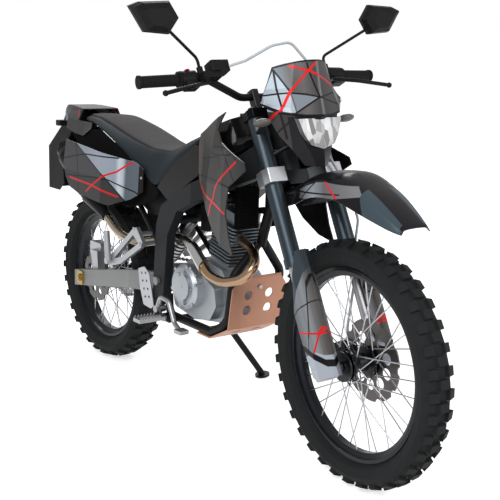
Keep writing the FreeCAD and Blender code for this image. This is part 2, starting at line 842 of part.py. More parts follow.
def brake_hose():
    """Hose from the brake lever's reservoir, over the mask's back and down the left leg."""
    points = [
        (GRIP_U + 55, -151, GRIP_S + 12),
        (GRIP_U + 84, -112, GRIP_S + 14),
        (150, -60, 262),
        (160, 0, 268),
        (150, 46, 214),
        (112, 62, 120),
        (96, 66, 40),
        (90, 82, -60),
        (84, 124, -160),
        (70, 138, -250),
        (10, 140, -330),
        (-8, 118, AXLE_S + 221),
        (-30, 74, AXLE_S + 111),
        (-34, 70, AXLE_S + 79),
    ]
    radii = [16, 30, 30, 30, 60, 60, 60, 50, 40, 40, 50, 40]
    return tube(points, radii, HOSE_R)


def front_caliper():
    """Caliper over the disc's rear edge, on a bracket from the left axle lug."""
    centre_u, centre_s = AXLE_OFFSET - 102, AXLE_S + 34
    disc_mid = FRONT_DISC_Y
    outer_y = FORK_Y - LUG_W / 2 - SEAT_GAP
    body = box(centre_u - 30, centre_u + 26, disc_mid - 20, outer_y, centre_s - 44, centre_s + 44)
    bracket = box(centre_u, FORK_U + 4, outer_y - 9, outer_y, centre_s - 30, centre_s - 2)
    slot = disc_y(AXLE_OFFSET, AXLE_S, disc_mid - 5, disc_mid + 5, FRONT_DISC_R + 5)
    return fillet_long(body, 7, Y_AXIS).fuse(bracket).cut(slot)


def front_axle():
    half = FORK_Y + LUG_W / 2 + 5
    body = disc_y(AXLE_OFFSET, AXLE_S, -half, half, AXLE_R)
    heads = [
        disc_y(AXLE_OFFSET, AXLE_S, -half, -FORK_Y - LUG_W / 2 - SEAT_GAP, 13),
        disc_y(AXLE_OFFSET, AXLE_S, FORK_Y + LUG_W / 2 + SEAT_GAP, half, 13),
    ]
    inner = FORK_Y - LUG_W / 2 - SEAT_GAP
    spacers = [
        disc_y(AXLE_OFFSET, AXLE_S, -inner, -FRONT_HUB_HALF - WHEEL_SIDE_GAP, 13),
        disc_y(AXLE_OFFSET, AXLE_S, FRONT_HUB_HALF + WHEEL_SIDE_GAP, inner, 13),
    ]
    return fused([body] + heads + spacers)


def front_indicators():
    leg = Part.makeCylinder(OUTER_TUBE_R + SEAT_GAP, 40, V(FORK_U, -FORK_Y, 20))
    stalk = rod((52, -116.5, 40), (142, -154, 40), 5).cut(leg)
    lamp = fillet_long(box(124, 162, -190, -150, 28, 52), 6, Y_AXIS)
    return pair(stalk.fuse(lamp))


# Chassis


def beam_top(x):
    """Height of the top of the twin beams at x, ahead of their bend."""
    (x0, z0), (x1, z1) = BEAM_TOP_BEND, BEAM_TOP_FRONT
    return z0 + (z1 - z0) * (x - x0) / (x1 - x0)


def frame():
    """Head tube and twin beams that fall to the swingarm pivot."""
    head_low, head_high = CLAMP_LOW_S + CLAMP_LOW_T + 1, CLAMP_TOP_S - 1
    head = Part.makeCylinder(HEAD_TUBE_R, head_high - head_low, V(0, 0, head_low))
    bore = Part.makeCylinder(STEM_R + RUNNING_GAP, head_high - head_low, V(0, 0, head_low))
    head = to_fork(head)
    bore = to_fork(bore)
    side = [
        BEAM_TOP_FRONT,
        (HEAD_X + 8, HEAD_Z - 52),
        (150, 752),
        (-20, 672),
        (-72, 590),
        (-96, 350),
        (-160, 342),
        (-142, 612),
        (-112, 680),
        (-10, 742),
        BEAM_TOP_BEND,
    ]
    prism = plate_xz(side, -BEAM_IN - BEAM_T, BEAM_IN + BEAM_T)
    plan = [
        (HEAD_X + 40, -14),
        (HEAD_X + 40, -30),
        (HEAD_X - 60, -52),
        (60, -BEAM_IN - BEAM_T),
        (-200, -BEAM_IN - BEAM_T),
        (-200, -BEAM_IN),
        (50, -BEAM_IN),
        (HEAD_X - 80, -22),
        (HEAD_X - 10, -14),
    ]
    beam = prism.common(plate_xy(plan, 300, HEAD_Z + 100))
    pieces = [head, beam, mirrored(beam)]
    for x, z in ((-45, 700), (SHOCK_TOP_X, SHOCK_TOP_Z)):
        pieces.append(disc_y(x, z, -BEAM_IN - 2, BEAM_IN + 2, CROSS_R))
    body = fused(pieces)
    pivot = disc_y(PIVOT_X, PIVOT_Z, -200, 200, PIVOT_R + RUNNING_GAP)
    return body.cut([bore, pivot])


def cradle():
    """Down tube that forks into two rails under the engine."""
    down = tube([(HEAD_X - 26, 0, HEAD_Z - 82), (262, 0, 640), (252, 0, 600)], [40], CRADLE_R + 2)
    rails = []
    for side in (-1, 1):
        y = side * CRADLE_Y
        rails.append(
            tube(
                [
                    (252, side * 12, 606),
                    (236, y, 510),
                    (212, y, 352),
                    (128, y, 306),
                    (-122, y, 306),
                    (-128, y, 374),
                ],
                [50, 60, 50, 30],
                CRADLE_R,
            )
        )
    struts = [
        disc_y(-60, 306, -CRADLE_Y, CRADLE_Y, 11),
        disc_y(104, 306, -CRADLE_Y, CRADLE_Y, 11),
    ]
    peg_lugs = [
        box(-112, -64, CRADLE_Y, CRADLE_Y + 40, 294, 316),
        box(-112, -64, -CRADLE_Y - 40, -CRADLE_Y, 294, 316),
    ]
    body = fused([down] + rails + struts + peg_lugs + [stand_lug()])
    return body.cut(stand_pin(STAND_PIN_R + RUNNING_GAP))


def stay_foot(side):
    return (-128, side * (BEAM_IN - STAY_R - SEAT_GAP), 480)


def on_stay(x):
    """Distance from the middle and height of a lower stay at x."""
    foot = stay_foot(1)
    share = (x - STAY_TOP[0]) / (foot[0] - STAY_TOP[0])
    return STAY_TOP[1] + share * (foot[1] - STAY_TOP[1]), STAY_TOP[2] + share * (foot[2] - STAY_TOP[2])


def rail_top(x):
    """Height of the top of a seat rail's rear run at x."""
    (x0, z0), (x1, z1) = RAIL_BEND, RAIL_END
    slope = (z1 - z0) / (x1 - x0)
    return z0 + slope * (x - x0) + RAIL_R * math.hypot(1, slope)


def subframe():
    """Seat rails and the stays under them."""
    rails = []
    for side in (-1, 1):
        y = side * RAIL_Y
        start = (-45 - 0.781 * (CROSS_R + SEAT_GAP), y, 700 + 0.625 * (CROSS_R + SEAT_GAP))
        bend, end = (RAIL_BEND[0], y, RAIL_BEND[1]), (RAIL_END[0], y, RAIL_END[1])
        rails.append(tube([start, (-125, y, 764), bend, end], [40, 90], RAIL_R))
        rails.append(rod(STAY_TOP[:1] + (side * STAY_TOP[1],) + STAY_TOP[2:], stay_foot(side), STAY_R))
    for x, z in ((-300, 798), (-800, 869)):
        rails.append(rod((x, -RAIL_Y, z), (x, RAIL_Y, z), 9))
    return fused(rails)


def swingarm():
    """Two box arms, a bridge ahead of the tyre and the pivot tube."""
    slope = (PIVOT_Z - REAR_AXLE.z) / (PIVOT_X - REAR_AXLE.x)

    def line(x):
        return REAR_AXLE.z + slope * (x - REAR_AXLE.x)

    h = ARM_H / 2
    side = [
        (REAR_AXLE.x - 52, line(REAR_AXLE.x - 52) - h),
        (-300, line(-300) - h - 2),
        (-190, line(-190) - 22),
        (PIVOT_X, PIVOT_Z - 20),
        (PIVOT_X + 20, PIVOT_Z),
        (PIVOT_X, PIVOT_Z + 20),
        (-190, line(-190) + 22),
        (-300, line(-300) + h + 2),
        (REAR_AXLE.x - 52, line(REAR_AXLE.x - 52) + h),
    ]
    plan = [
        (REAR_AXLE.x - 60, -ARM_Y - ARM_T / 2),
        (-330, -ARM_Y - ARM_T / 2),
        (-210, -101),
        (PIVOT_X + 30, -101),
        (PIVOT_X + 30, -76),
        (-215, -76),
        (-335, -ARM_Y + ARM_T / 2),
        (REAR_AXLE.x - 60, -ARM_Y + ARM_T / 2),
    ]
    arm = plate_xz(side, -200, 0).common(plate_xy(plan, 200, 600))
    corners = [
        (-322, line(-322) - 36),
        (-262, line(-262) - 38),
        (-262, line(-262) + 18),
        (-322, line(-322) + 19.5),
    ]
    bridge = plate_xz(corners, -ARM_Y, ARM_Y)
    pivot = disc_y(PIVOT_X, PIVOT_Z, -BEAM_IN + SEAT_GAP, BEAM_IN - SEAT_GAP, 19)
    ears = [plate_xz([(-316, 400), (-270, 400), (-280, 460), (-306, 460)], y, y + 8) for y in (-23, 15)]
    body = fused([arm, mirrored(arm), bridge, pivot] + ears)
    play = AXLE_R + 0.1
    slot = box(REAR_AXLE.x - 26, REAR_AXLE.x + 14, -200, 200, REAR_AXLE.z - play, REAR_AXLE.z + play)
    reach = BEAM_IN + BEAM_T
    bolt = [
        disc_y(PIVOT_X, PIVOT_Z, -reach - 6, reach + 6, PIVOT_R),
        disc_y(PIVOT_X, PIVOT_Z, -reach - 10, -reach - SEAT_GAP, 14),
        disc_y(PIVOT_X, PIVOT_Z, reach + SEAT_GAP, reach + 10, 14),
    ]
    return fused([body.cut(slot)] + bolt)


def rear_axle():
    """Axle with its nuts, adjuster blocks and spacers, and the swingarm's pivot bolt."""
    outer = ARM_Y + ARM_T / 2
    inner = ARM_Y - ARM_T / 2
    body = disc_y(REAR_AXLE.x, REAR_AXLE.z, -outer - 16, outer + 16, AXLE_R)
    pieces = [body]
    for side in (-1, 1):
        near, far = sorted((side * (outer + SEAT_GAP), side * (outer + 6)))
        block = box(REAR_AXLE.x - 20, REAR_AXLE.x + 20, near, far, REAR_AXLE.z - 26, REAR_AXLE.z + 26)
        near, far = sorted((side * (outer + 5), side * (outer + 13)))
        nut = disc_y(REAR_AXLE.x, REAR_AXLE.z, near, far, 14)
        pieces += [fillet_long(block, 5, Y_AXIS), nut]
    right = disc_y(REAR_AXLE.x, REAR_AXLE.z, -inner + SEAT_GAP, -REAR_HUB_HALF - WHEEL_SIDE_GAP, 13)
    chain_side = CHAIN_Y + SPROCKET_T / 2 + WHEEL_SIDE_GAP + 2
    left = disc_y(REAR_AXLE.x, REAR_AXLE.z, chain_side, inner - SEAT_GAP, 13)
    return fused(pieces + [right, left])


def chain_outline(out_rear, out_front):
    """Loop round both sprockets, grown outwards from their pitch circles."""
    points = []
    gap_x = COUNTERSHAFT_X - REAR_AXLE.x
    gap_z = COUNTERSHAFT_Z - REAR_AXLE.z
    apart = math.hypot(gap_x, gap_z)
    heading = math.atan2(gap_z, gap_x)
    swing = math.acos((out_rear - out_front) / apart)
    steps = 20
    for i in range(steps + 1):
        a = heading + swing + (2 * math.pi - 2 * swing) * i / steps
        points.append((REAR_AXLE.x + out_rear * math.cos(a), REAR_AXLE.z + out_rear * math.sin(a)))
    for i in range(steps // 2 + 1):
        a = heading - swing + 2 * swing * i / (steps // 2)
        x, z = out_front * math.cos(a), out_front * math.sin(a)
        points.append((COUNTERSHAFT_X + x, COUNTERSHAFT_Z + z))
    return points


def chain():
    low, high = CHAIN_Y - CHAIN_W / 2, CHAIN_Y + CHAIN_W / 2
    outer = plate_xz(chain_outline(REAR_SPROCKET_R + 8, FRONT_SPROCKET_R + 8), low, high)
    inner = plate_xz(chain_outline(REAR_SPROCKET_R - 7, FRONT_SPROCKET_R - 7), low, high)
    slot_out = chain_outline(REAR_SPROCKET_R + 1, FRONT_SPROCKET_R + 1)
    slot_half = SPROCKET_T / 2 + 1
    slot = plate_xz(slot_out, CHAIN_Y - slot_half, CHAIN_Y + slot_half)
    return outer.cut(inner).cut(slot)


def to_cylinder(shape):
    """From the middle of the crankcase's deck, with +Z up the bore, to the motorcycle."""
    placed = shape.copy()
    placed.rotate(V(0, 0, 0), Y_AXIS, CYL_TILT_DEG)
    placed.translate(V(CYL_X, 0, CYL_Z))
    return placed


def engine_cases():
    """Crankcase as one block with the lower cover's outline."""
    side = [
        (-88, 380),
        (-70, 340),
        (60, 326),
        (150, 340),
        (196, 392),
        (186, 470),
        (150, 510),
        (60, 524),
        (-30, 512),
        (-84, 462),
    ]
    body = plate_xz(side, -74, 56)
    body = fillet_long(body, 14, Y_AXIS)
    right = [(-62, 352), (60, 334), (140, 350), (172, 400)]
    right += [(160, 455), (60, 500), (-40, 470), (-76, 400)]
    lower = fillet_long(plate_xz(right, -108, -72), 16, Y_AXIS)
    left = [(-4, 360), (60, 344), (136, 372), (150, 430), (120, 480), (40, 496), (-4, 450)]
    left = fillet_long(plate_xz(left, 54, 92), 16, Y_AXIS)
    shaft = disc_y(COUNTERSHAFT_X, COUNTERSHAFT_Z, 50, CHAIN_Y + 12, 12)
    gear = disc_y(COUNTERSHAFT_X, COUNTERSHAFT_Z, CHAIN_Y - 3, CHAIN_Y + 3, FRONT_SPROCKET_R - 2)
    mounts = [disc_y(170, 420, -CRADLE_Y + CRADLE_R, CRADLE_Y - CRADLE_R, 12)]
    deck = to_cylinder(box(-50, 50, -48, 48, -46, 0))
    return fused([body, lower, left, shaft, gear, deck] + mounts)


def engine_covers():
    """Round clutch cover on the right and generator cover on the left."""
    y0 = -108 - SEAT_GAP
    face = y0 - 40
    profile = [
        (y0, 0),
        (y0, CLUTCH_R),
        (y0 - 26, CLUTCH_R),
        (y0 - 36, CLUTCH_R - 10),
        (y0 - 39, CLUTCH_R - 26),
        (face, 0),
    ]
    right = revolve_y(profile, V(CLUTCH_X, 0, CLUTCH_Z))
    outer = disc_y(CLUTCH_X, CLUTCH_Z, face - 2, y0 - 30, CLUTCH_R - 13)
    inner = disc_y(CLUTCH_X - 6, CLUTCH_Z, face - 2, y0 - 30, CLUTCH_R - 28)
    ahead = box(CLUTCH_X + 10, CLUTCH_X + 90, face - 2, y0 - 30, CLUTCH_Z - 90, CLUTCH_Z + 90)
    right = right.cut(outer.cut(inner).common(ahead))
    heads = []
    for angle in (15, 75, 135, 195, 255, 315):
        a = math.radians(angle)
        x, z = CLUTCH_X + (CLUTCH_R - 4) * math.cos(a), CLUTCH_Z + (CLUTCH_R - 4) * math.sin(a)
        heads.append(disc_y(x, z, y0 - 33, y0, 6))
    y1 = 92 + SEAT_GAP
    profile = [(y1, 0), (y1, 62), (y1 + 22, 62), (y1 + 32, 50), (y1 + 34, 0)]
    left = revolve_y(profile, V(66, 0, 424))
    return Part.makeCompound([fused([right] + heads), left])


def cylinder():
    """Finned barrel and head with the rocker cover on top."""
    pieces = []
    width, depth = 118, 124
    base = box(-46, 46, -46, 46, 0, (FIN_COUNT + HEAD_FIN_COUNT) * FIN_PITCH + 12)
    pieces.append(base)
    z = 10.0
    for i in range(FIN_COUNT + HEAD_FIN_COUNT):
        grow = 0 if i < FIN_COUNT else 8
        back, front, side = -width / 2 - grow / 2, width / 2 + grow, depth / 2 + grow / 2
        fin = box(back, front, -side, side, z, z + FIN_T)
        pieces.append(fillet_long(fin, 14, Z_AXIS))
        z += FIN_PITCH
    top = box(-50, 52, -50, 50, z, z + 34)
    pieces.append(fillet_long(top, 16, Z_AXIS))
    body = to_cylinder(fused(pieces))
    port = rod((150, -26, 618), (204, -42, 612), 20)
    return body.fuse(port)


HEADER_POINTS = [
    (204.3, -42.1, 612),
    (318, -75.8, 599.3),
    (378, -118, 572),
    (350, -142, 528),
    (262, -147, 500),
    (182, -146, 506),
    (120, -137, 542),
    (60, -124, 570),
    (-10, -105, 578),
    (-75, -80, 572),
    (-150, -60, 560),
    (-250, -54, 534),
    (-340, -84, 510),
    (-430, -112, 528),
    (-512, -122, 588),
]


def header_pipe():
    """Exhaust pipe with a slotted heat shield where it passes the cylinder."""
    bends = wide_bends(HEADER_POINTS)
    pipe = tube(HEADER_POINTS, bends, HEADER_R)
    sleeve_room = box(58, 150, -220, 0, 450, 650)
    shield = tube(HEADER_POINTS, bends, SHIELD_R).common(sleeve_room)
    slots = [rod((x, -180, z - 16), (x, -180, z + 16), 20).common(box(x - 4, x + 4, -200, 0, 0, 900))
             for x, z in ((82, 559), (104, 548), (126, 538))]
    return pipe.fuse(shield.cut(slots))


def silencer():
    """Tapered can that climbs under the right side panel, with its tail pipe."""
    start, end = V(*HEADER_POINTS[-1]), V(-912, -120, 842)
    along = (end - start).normalize()
    socket = Part.makeCylinder(HEADER_R + 4, 16, start - along * 14, along)
    cone = Part.makeCone(HEADER_R + 3, SILENCER_R, 110, start, along)
    can = Part.makeCylinder(SILENCER_R, 228, start + along * 110, along)
    band = Part.makeCylinder(SILENCER_R + 2, 14, start + along * 150, along)
    tail = Part.makeCone(SILENCER_R, 33, 30, start + along * 338, along)
    ring = Part.makeCylinder(34, 12, start + along * 366, along)
    outlet = Part.makeCylinder(20, 36, start + along * 366, along)
    mouth = Part.makeCylinder(16, 30, start + along * 375, along)
    last_run = (start - V(*HEADER_POINTS[-2])).normalize()
    room = Part.makeCylinder(HEADER_R + SEAT_GAP, 40 + SEAT_GAP, start - last_run * 40, last_run)
    return fused([socket, cone, can, band, tail, ring, outlet]).cut([room, mouth])


def skid_plate():
    """Folded plate in front of and under the cradle, with its round holes."""
    outside = [(264, 508), (256, 500), (232, 338), (134, 287.5), (60, 287.5)]
    inside = [(60, 291.5), (133, 291.5), (228, 340), (252, 501), (260, 509)]
    body = plate_xz(outside + inside, -103, 103)
    holes = []
    for y in (-40, 40):
        for z in (446, 396):
            holes.append(Part.makeCylinder(15, 90, V(190, y, z), X_AXIS))
        holes.append(Part.makeCylinder(15, 60, V(186, y, 270), Z_AXIS))
    corners = [
        plate_yz([(-104, 512), (-70, 512), (-104, 470)], 200, 300),
        plate_yz([(104, 512), (70, 512), (104, 470)], 200, 300),
    ]
    return body.cut(holes + corners)


def rear_shock():
    """Single damper between the bridge and the frame, with its coil as stacked rings."""
    low, high = V(-293, 0, 445), V(SHOCK_TOP_X, 0, SHOCK_TOP_Z)
    along = (high - low).normalize()
    length = (high - low).Length - CROSS_R - SEAT_GAP
    body = Part.makeCylinder(15, length, low, along)
    eye = disc_y(low.x, low.z, -14, 14, 14)
    turns = 9
    coils = [Part.makeCylinder(31, 9, low + along * (38 + i * 18), along) for i in range(turns)]
    return fused([body, eye] + coils)


def curved_panel(outline, plan, thickness, tilt_deg=0.0, hinge_z=0.0):
    """Right-hand panel: a side outline cut from a sheet that follows a plan curve."""
    back = [(x, y + thickness) for x, y in reversed(plan)]
    sheet = plate_xy(plan + back, 400, 1100)
    if tilt_deg:
        sheet.rotate(V(0, plan[0][1], hinge_z), X_AXIS, tilt_deg)
    return plate_xz(outline, -260, 0).common(sheet)


def shrouds():
    """Broad panels from the tank's shoulders down to a point beside the down tube."""
    outline = [
        (92, 893),
        (106, 816),
        (122, 788),
        (181, 732),
        (236, 669),
        (301, 625),
        (370, 609),
        (344, 663),
        (326, 722),
        (334, 778),
        (340, 803),
        (425, 859),
        (415, 880),
        (370, 894),
        (275, 922),
        (235, 955),
        (245, 985),
        (258, 1008),
        (183, 973),
        (97, 930),
    ]
    levels = [
        (590, [(60, -140), (120, -153), (200, -172), (300, -190), (440, -200)]),
        (800, [(60, -130), (130, -145), (200, -172), (300, -192), (440, -202)]),
        (900, [(60, -122), (130, -138), (220, -170), (320, -190), (440, -200)]),
        (1012, [(60, -112), (130, -122), (220, -146), (280, -152), (440, -162)]),
    ]
    skin = 4
    sections = []
    for z, plan in levels:
        outer = [(x, y, z) for x, y in plan]
        sections.append(outer + [(x, y + skin, z) for x, y in reversed(plan)])
    panel = plate_xz(outline, -260, 0).common(loft(sections))
    peg = disc_y(150, beam_top(150) + 68, -142.5, -TANK_HALF - SEAT_GAP, 6)
    return pair(panel.fuse(peg))


def side_panels():
    outline = [
        (-692, 845),
        (-419, 822),
        (-248, 806),
        (-212, 786),
        (-210, 712),
        (-265, 680),
        (-379, 645),
        (-577, 660),
        (-650, 677),
        (-686, 712),
        (-706, 760),
    ]
    plan = [(-200, -142), (-300, -168), (-420, -190), (-720, -190)]
    panel = curved_panel(outline, plan, 3.5, -3.0, 760)
    pegs = []
    for x, y in zip(PANEL_PEGS, (176, 187)):
        stay_y, stay_z = on_stay(x)
        pegs.append(disc_y(x, stay_z, -y, -stay_y - STAY_R - 2 * SEAT_GAP, PEG_R))
    return pair(fused([panel] + pegs))


def tank():
    """Tank with its front split round the head tube."""
    stations = [
        (-70, 770, 812, 70),
        (0, 785, 858, 90),
        (56, 797, 902, 100),
        (66, 800, HEAD_Z + 20, 104),
        (150, beam_top(150) + 4, HEAD_Z + 72, TANK_HALF),
        (200, beam_top(200) + 4, HEAD_Z + 90, 108),
        (228, beam_top(228) + 4, HEAD_Z + 34, 98),
        (256, beam_top(256) + 4, HEAD_Z + 30, 84),
    ]
    sections = []
    for x, low, high, half in stations:
        right = [
            (x, -half * 0.9, low),
            (x, -half, low + 0.45 * (high - low)),
            (x, -half * 0.86, high - 8),
            (x, -half * 0.5, high),
        ]
        sections.append(right + [(x, -y, z) for x, y, z in reversed(right)])
    body = loft(sections)
    head_room = Part.makeCylinder(HEAD_TUBE_R + 6, 400, V(0, 0, -200))
    cap = Part.makeCylinder(27, 24, V(168, 0, HEAD_Z + 70))
    pads = [Part.makeCylinder(8, 14, V(120, y, beam_top(128) + SEAT_GAP)) for y in (-92, 92)]
    return fused([body.cut(to_fork(head_room)), cap] + pads)


def seat():
    """Long saddle with deep skirts that meet in a point each side."""
    stations = [
        (-770, 926, 906, 34, 50),
        (-756, 932, 906, 52, 70),
        (-650, 933, 906, 80, 100),
        (-560, 919, 888, 84, 114),
        (-430, 889, 849, 86, 124),
        (-332, 868, 811, 84, 127),
        (-245, 855, 773, 82, 128),
        (-167, 855, 737, 80, 126),
        (-112, 868, 779, 80, 122),
        (-41, 897, 834, 80, 116),
        (10, 917, 866, 76, 108),
        (56, 937, 910, 66, 94),
    ]
    foam, skirt = 40, 14

    def section(x, top, low, half_top, half_low):
        right = [
            (x, -half_low, low),
            (x, -half_low, low + 0.3 * (top - low)),
            (x, -half_top, top - 9),
            (x, -half_top * 0.5, top - 1.5),
        ]
        return right + [(x, -y, z) for x, y, z in reversed(right)]

    def hollow(x, top, low, half_top, half_low):
        right = [
            (x, -half_low + skirt, low - 1),
            (x, -half_low + skirt, low + 0.12 * (top - low)),
            (x, -half_top, top - 9 - foam),
            (x, -half_top * 0.5, top - foam),
        ]
        return right + [(x, -y, z) for x, y, z in reversed(right)]

    outer = loft([section(*s) for s in stations])
    deep = [(-356, 873, 820, 84, 126)] + stations[5:11]
    inner = loft([hollow(*s) for s in deep])
    bumpers = []
    for x, roof in ((-610, 912), (-330, 846)):
        low = rail_top(x - 10) + SEAT_GAP
        for y in (-RAIL_Y, RAIL_Y):
            bumpers.append(Part.makeCylinder(10, roof - low, V(x, y, low)))
    return fused([outer.cut(inner)] + bumpers)


def airbox():
    """Box under the seat with its side pods, the carburettor ahead of it and a flap behind."""
    side = [(-420, 786), (-180, 762), (-84, 742), (-84, 672), (-150, 676), (-330, 690), (-420, 730)]
    body = plate_xz(side, -54, 54)
    pod = [(-350, 700), (-350, 650), (-290, 622), (-150, 622), (-120, 650), (-120, 734)]
    pods = [plate_xz(pod, y, y + 30) for y in (-70, 40)]
    flap = [(-334, 700), (-322, 560), (-334, 470), (-331, 470), (-318, 560), (-330, 700)]
    throat = rod((-88, 0, 660), (63, 0, 660), 22)
    bowl = fillet_long(box(-44, 6, -28, 28, 602, 686), 8, Z_AXIS)
    return fused([body, throat, bowl, plate_xz(flap, -58, 58)] + pods)


def side_covers():
    """Flat infills under the seat's nose, ahead of the side panels."""
    cover = [(-150, 735), (-112, 773), (-41, 829), (10, 861), (62, 892), (86, 894), (88, 802)]
    cover += [(0, 751), (-60, 715), (-86, 701)]
    foot = [(-50, 718.1), (-20, 736.3), (-20, 780), (-50, 762)]
    return pair(plate_xz(cover, -128, -124).fuse(plate_xz(foot, -128, -124)))


def inner_panels():
    """Black housing behind the side panels, carried by their pegs, from the seat down to the can."""
    outline = [
        (-830, 864),
        (-715, 861),
        (-655, 884),
        (-600, 884),
        (-560, 884),
        (-430, 845),
        (-332, 807),
        (-245, 769),
        (-167, 733),
        (-150, 716),
        (-168, 692),
        (-245, 662),
        (-312, 646),
        (-453, 636),
        (-520, 641),
        (-554, 662),
        (-605, 706),
        (-700, 766),
        (-800, 830),
        (-830, 849),
    ]
    plan = [(-130, -122), (-250, -124), (-430, -120), (-640, -104), (-715, -99), (-860, -85)]
    panel = curved_panel(outline, plan, 3)
    room = [disc_y(x, on_stay(x)[1], -200, 0, PEG_R + SEAT_GAP) for x in PANEL_PEGS]
    return pair(panel.cut(room))


def oil_cooler():
    """Two finned cores, one each side of the down tube, on a bar behind it."""
    low, high = 656.0, 782.0
    pieces = [box(238, 246, -22, 22, 700, 716)]
    for y in (-95, 20):
        pieces.append(box(241, 256, y + 2, y + 73, low, high))
        pieces.append(box(238, 260, y, y + 7, low, high))
        pieces.append(box(238, 260, y + 68, y + 75, low, high))
        z = low + 6
        while z < high - 6:
            pieces.append(box(238, 260, y + 2, y + 73, z, z + 3))
            z += 10.5
    tab = box(244, 280, -9, 9, 700, 716)
    tube_room = rod((HEAD_X - 26, 0, HEAD_Z - 82), (262, 0, 640), CRADLE_R + 2 + SEAT_GAP)
    return fused(pieces + [tab.cut(tube_room).common(box(240, 276, -9, 9, 690, 720))])


def tail():
    """Tail cover over the rear wheel, open below and stepped under the seat's end."""
    stations = [
        (-640, 934, 884, 84, 112),
        (-715, 944, 852, 80, 106),
        (-800, 950, 856, 72, 98),
        (-880, 954, 868, 60, 90),
        (-930, 954, 905, 52, 70),
        (-958, 950, 926, 46, 56),
    ]

    def arch(x, top, low, half_top, half_low, inset):
        right = [
            (x, -half_low + inset, low),
            (x, -half_low * 0.94 + inset, low + 0.5 * (top - low)),
            (x, -half_top + inset, top - inset),
        ]
        return right + [(x, -y, z) for x, y, z in reversed(right)]

    sections = [arch(*s, 0) + arch(*s, 3.5)[::-1] for s in stations]
    x = stations[-1][0]
    end = plate_yz([(y, z) for _, y, z in arch(*stations[-1], 0)], x, x + 3.5)
    seat_room = box(-773, -600, -200, 200, 905.4, 1000)
    low = rail_top(-836) + SEAT_GAP
    posts = [Part.makeCylinder(6, 941 - low, V(-830, y, low)) for y in (-66, 66)]
    return fused([loft(sections).fuse(end).cut(seat_room)] + posts)


def plate_holder():
    """Number plate holder: a back wall and two side walls that hang from the tail."""
    back, low = PLATE_X - PLATE_T, PLATE_HOLE_Z - 36
    outline = [
        (-880, 905),
        (-950, 925.7),
        (-960, 925.7),
        (-1003, 868),
        (back, 775),
        (back, low),
        (back + 94, low),
        (back + 134, low + 36),
        (back + 124, 760),
        (-930, 845),
        (-880, 880),
    ]
    body = plate_xz(outline, -PLATE_HALF, PLATE_HALF)
    room = plate_xz(outline, PLATE_T - PLATE_HALF, PLATE_HALF - PLATE_T)
    room.translate(V(PLATE_T, 0, 0))
    holes = []
    for y in (-PLATE_HOLE_Y, PLATE_HOLE_Y):
        holes.append(Part.makeCylinder(PLATE_HOLE_R, PLATE_T, V(back, y, PLATE_HOLE_Z), X_AXIS))
    return body.cut([room] + holes)


def rear_lamps():
    face = -958 - SEAT_GAP
    lens = [(face, -45), (face, 45), (face - 8, 40), (face - 12, 18), (face - 12, -18), (face - 8, -40)]
    tail_lamp = plate_xy(lens, 928, 948)
    stalk = rod((-948, -PLATE_HALF + 1, 882), (-948, -70, 882), 6)
    lamp = fillet_long(box(-966, -930, -94, -66, 871, 893), 6, Y_AXIS)
    return tail_lamp, stalk.fuse(lamp)


def footpegs():
    """Serrated rider pegs on their brackets."""
    y_in, y_out = CRADLE_Y + 40 + SEAT_GAP, 240
    deck = box(-108, -66, -y_out, -y_in - 12, 306, 318)
    opening = box(-98, -76, -y_out + 12, -y_in - 22, 300, 330)
    teeth = []
    pitch = 12
    count = int((y_out - y_in - 16) / pitch)
    for i in range(count):
        y = -y_out + 2 + i * pitch
        for x in (-108, -72):
            teeth.append(plate_yz([(y, 317), (y + 8, 317), (y + 4, 325)], x, x + 6))
    root = box(-100, -76, -y_in - 14, -y_in, 298, 316)
    return pair(fused([deck.cut(opening), root] + teeth))


def heel_guards():
    side = [(-240, 446), (-200, 460), (-168, 442), (-138, 340), (-156, 324), (-202, 328), (-226, 380)]
    y = -BEAM_IN - BEAM_T - 6
    body = fillet_long(plate_xz(side, y - 3, y), 6, Y_AXIS)
    holes = []
    for x, z in ((-215, 436), (-208, 410), (-200, 384), (-192, 358)):
        holes.append(disc_y(x, z, y - 4, y + 1, 5))
        holes.append(disc_y(x + 24, z + 4, y - 4, y + 1, 5))
    peg = disc_y(-152, 352, y, -BEAM_IN - BEAM_T - SEAT_GAP, 7)
    return pair(body.cut(holes).fuse(peg))


def passenger_pegs():
    """Open triangular hangers with their pegs folded up."""
    y = -150
    outline = [(-242, 586), (-222, 592), (-182, 548), (-190, 528)]
    outline += [(-330, 446), (-404, 424), (-426, 440), (-400, 462)]
    window = [(-244, 562), (-208, 540), (-320, 472), (-372, 458)]
    body = plate_xz(outline, y - 14, y)
    body = body.cut(plate_xz(window, y - 15, y + 1))
    peg = rod((-400, y - 22, 446), (-412, y - 22, 548), 11)
    hinge = disc_y(-404, 444, y - 30, y - 12, 12)
    bosses = []
    for x in (-232, -198):
        stay_y, stay_z = on_stay(x)
        bosses.append(disc_y(x, stay_z, y - 1, -stay_y - STAY_R - 2 * SEAT_GAP, 8))
    return pair(fused([body, peg, hinge] + bosses))


def foot_controls():
    """Brake pedal on the right and gear lever on the left."""
    y = -152
    bar = [(-104, y, 336), (-82, y, 382), (-32, y, 378), (4, y, 312), (44, y - 6, 300)]
    pedal = tube(bar, [18, 22, 24], 8)
    pad = box(38, 76, y - 26, y + 10, 294, 306)
    hub = disc_y(-104, 336, -160, -BEAM_IN - 20, 12)
    brake = fused([pedal, fillet_long(pad, 4, Z_AXIS), hub])
    shaft = disc_y(22, 368, 92 + SEAT_GAP, 140, 8)
    arm = tube([(22, 132, 368), (60, 134, 352), (96, 138, 330)], [40], 6)
    toe = disc_y(96, 330, 130, 172, 7)
    return Part.makeCompound([brake, fused([shaft, arm, toe])])


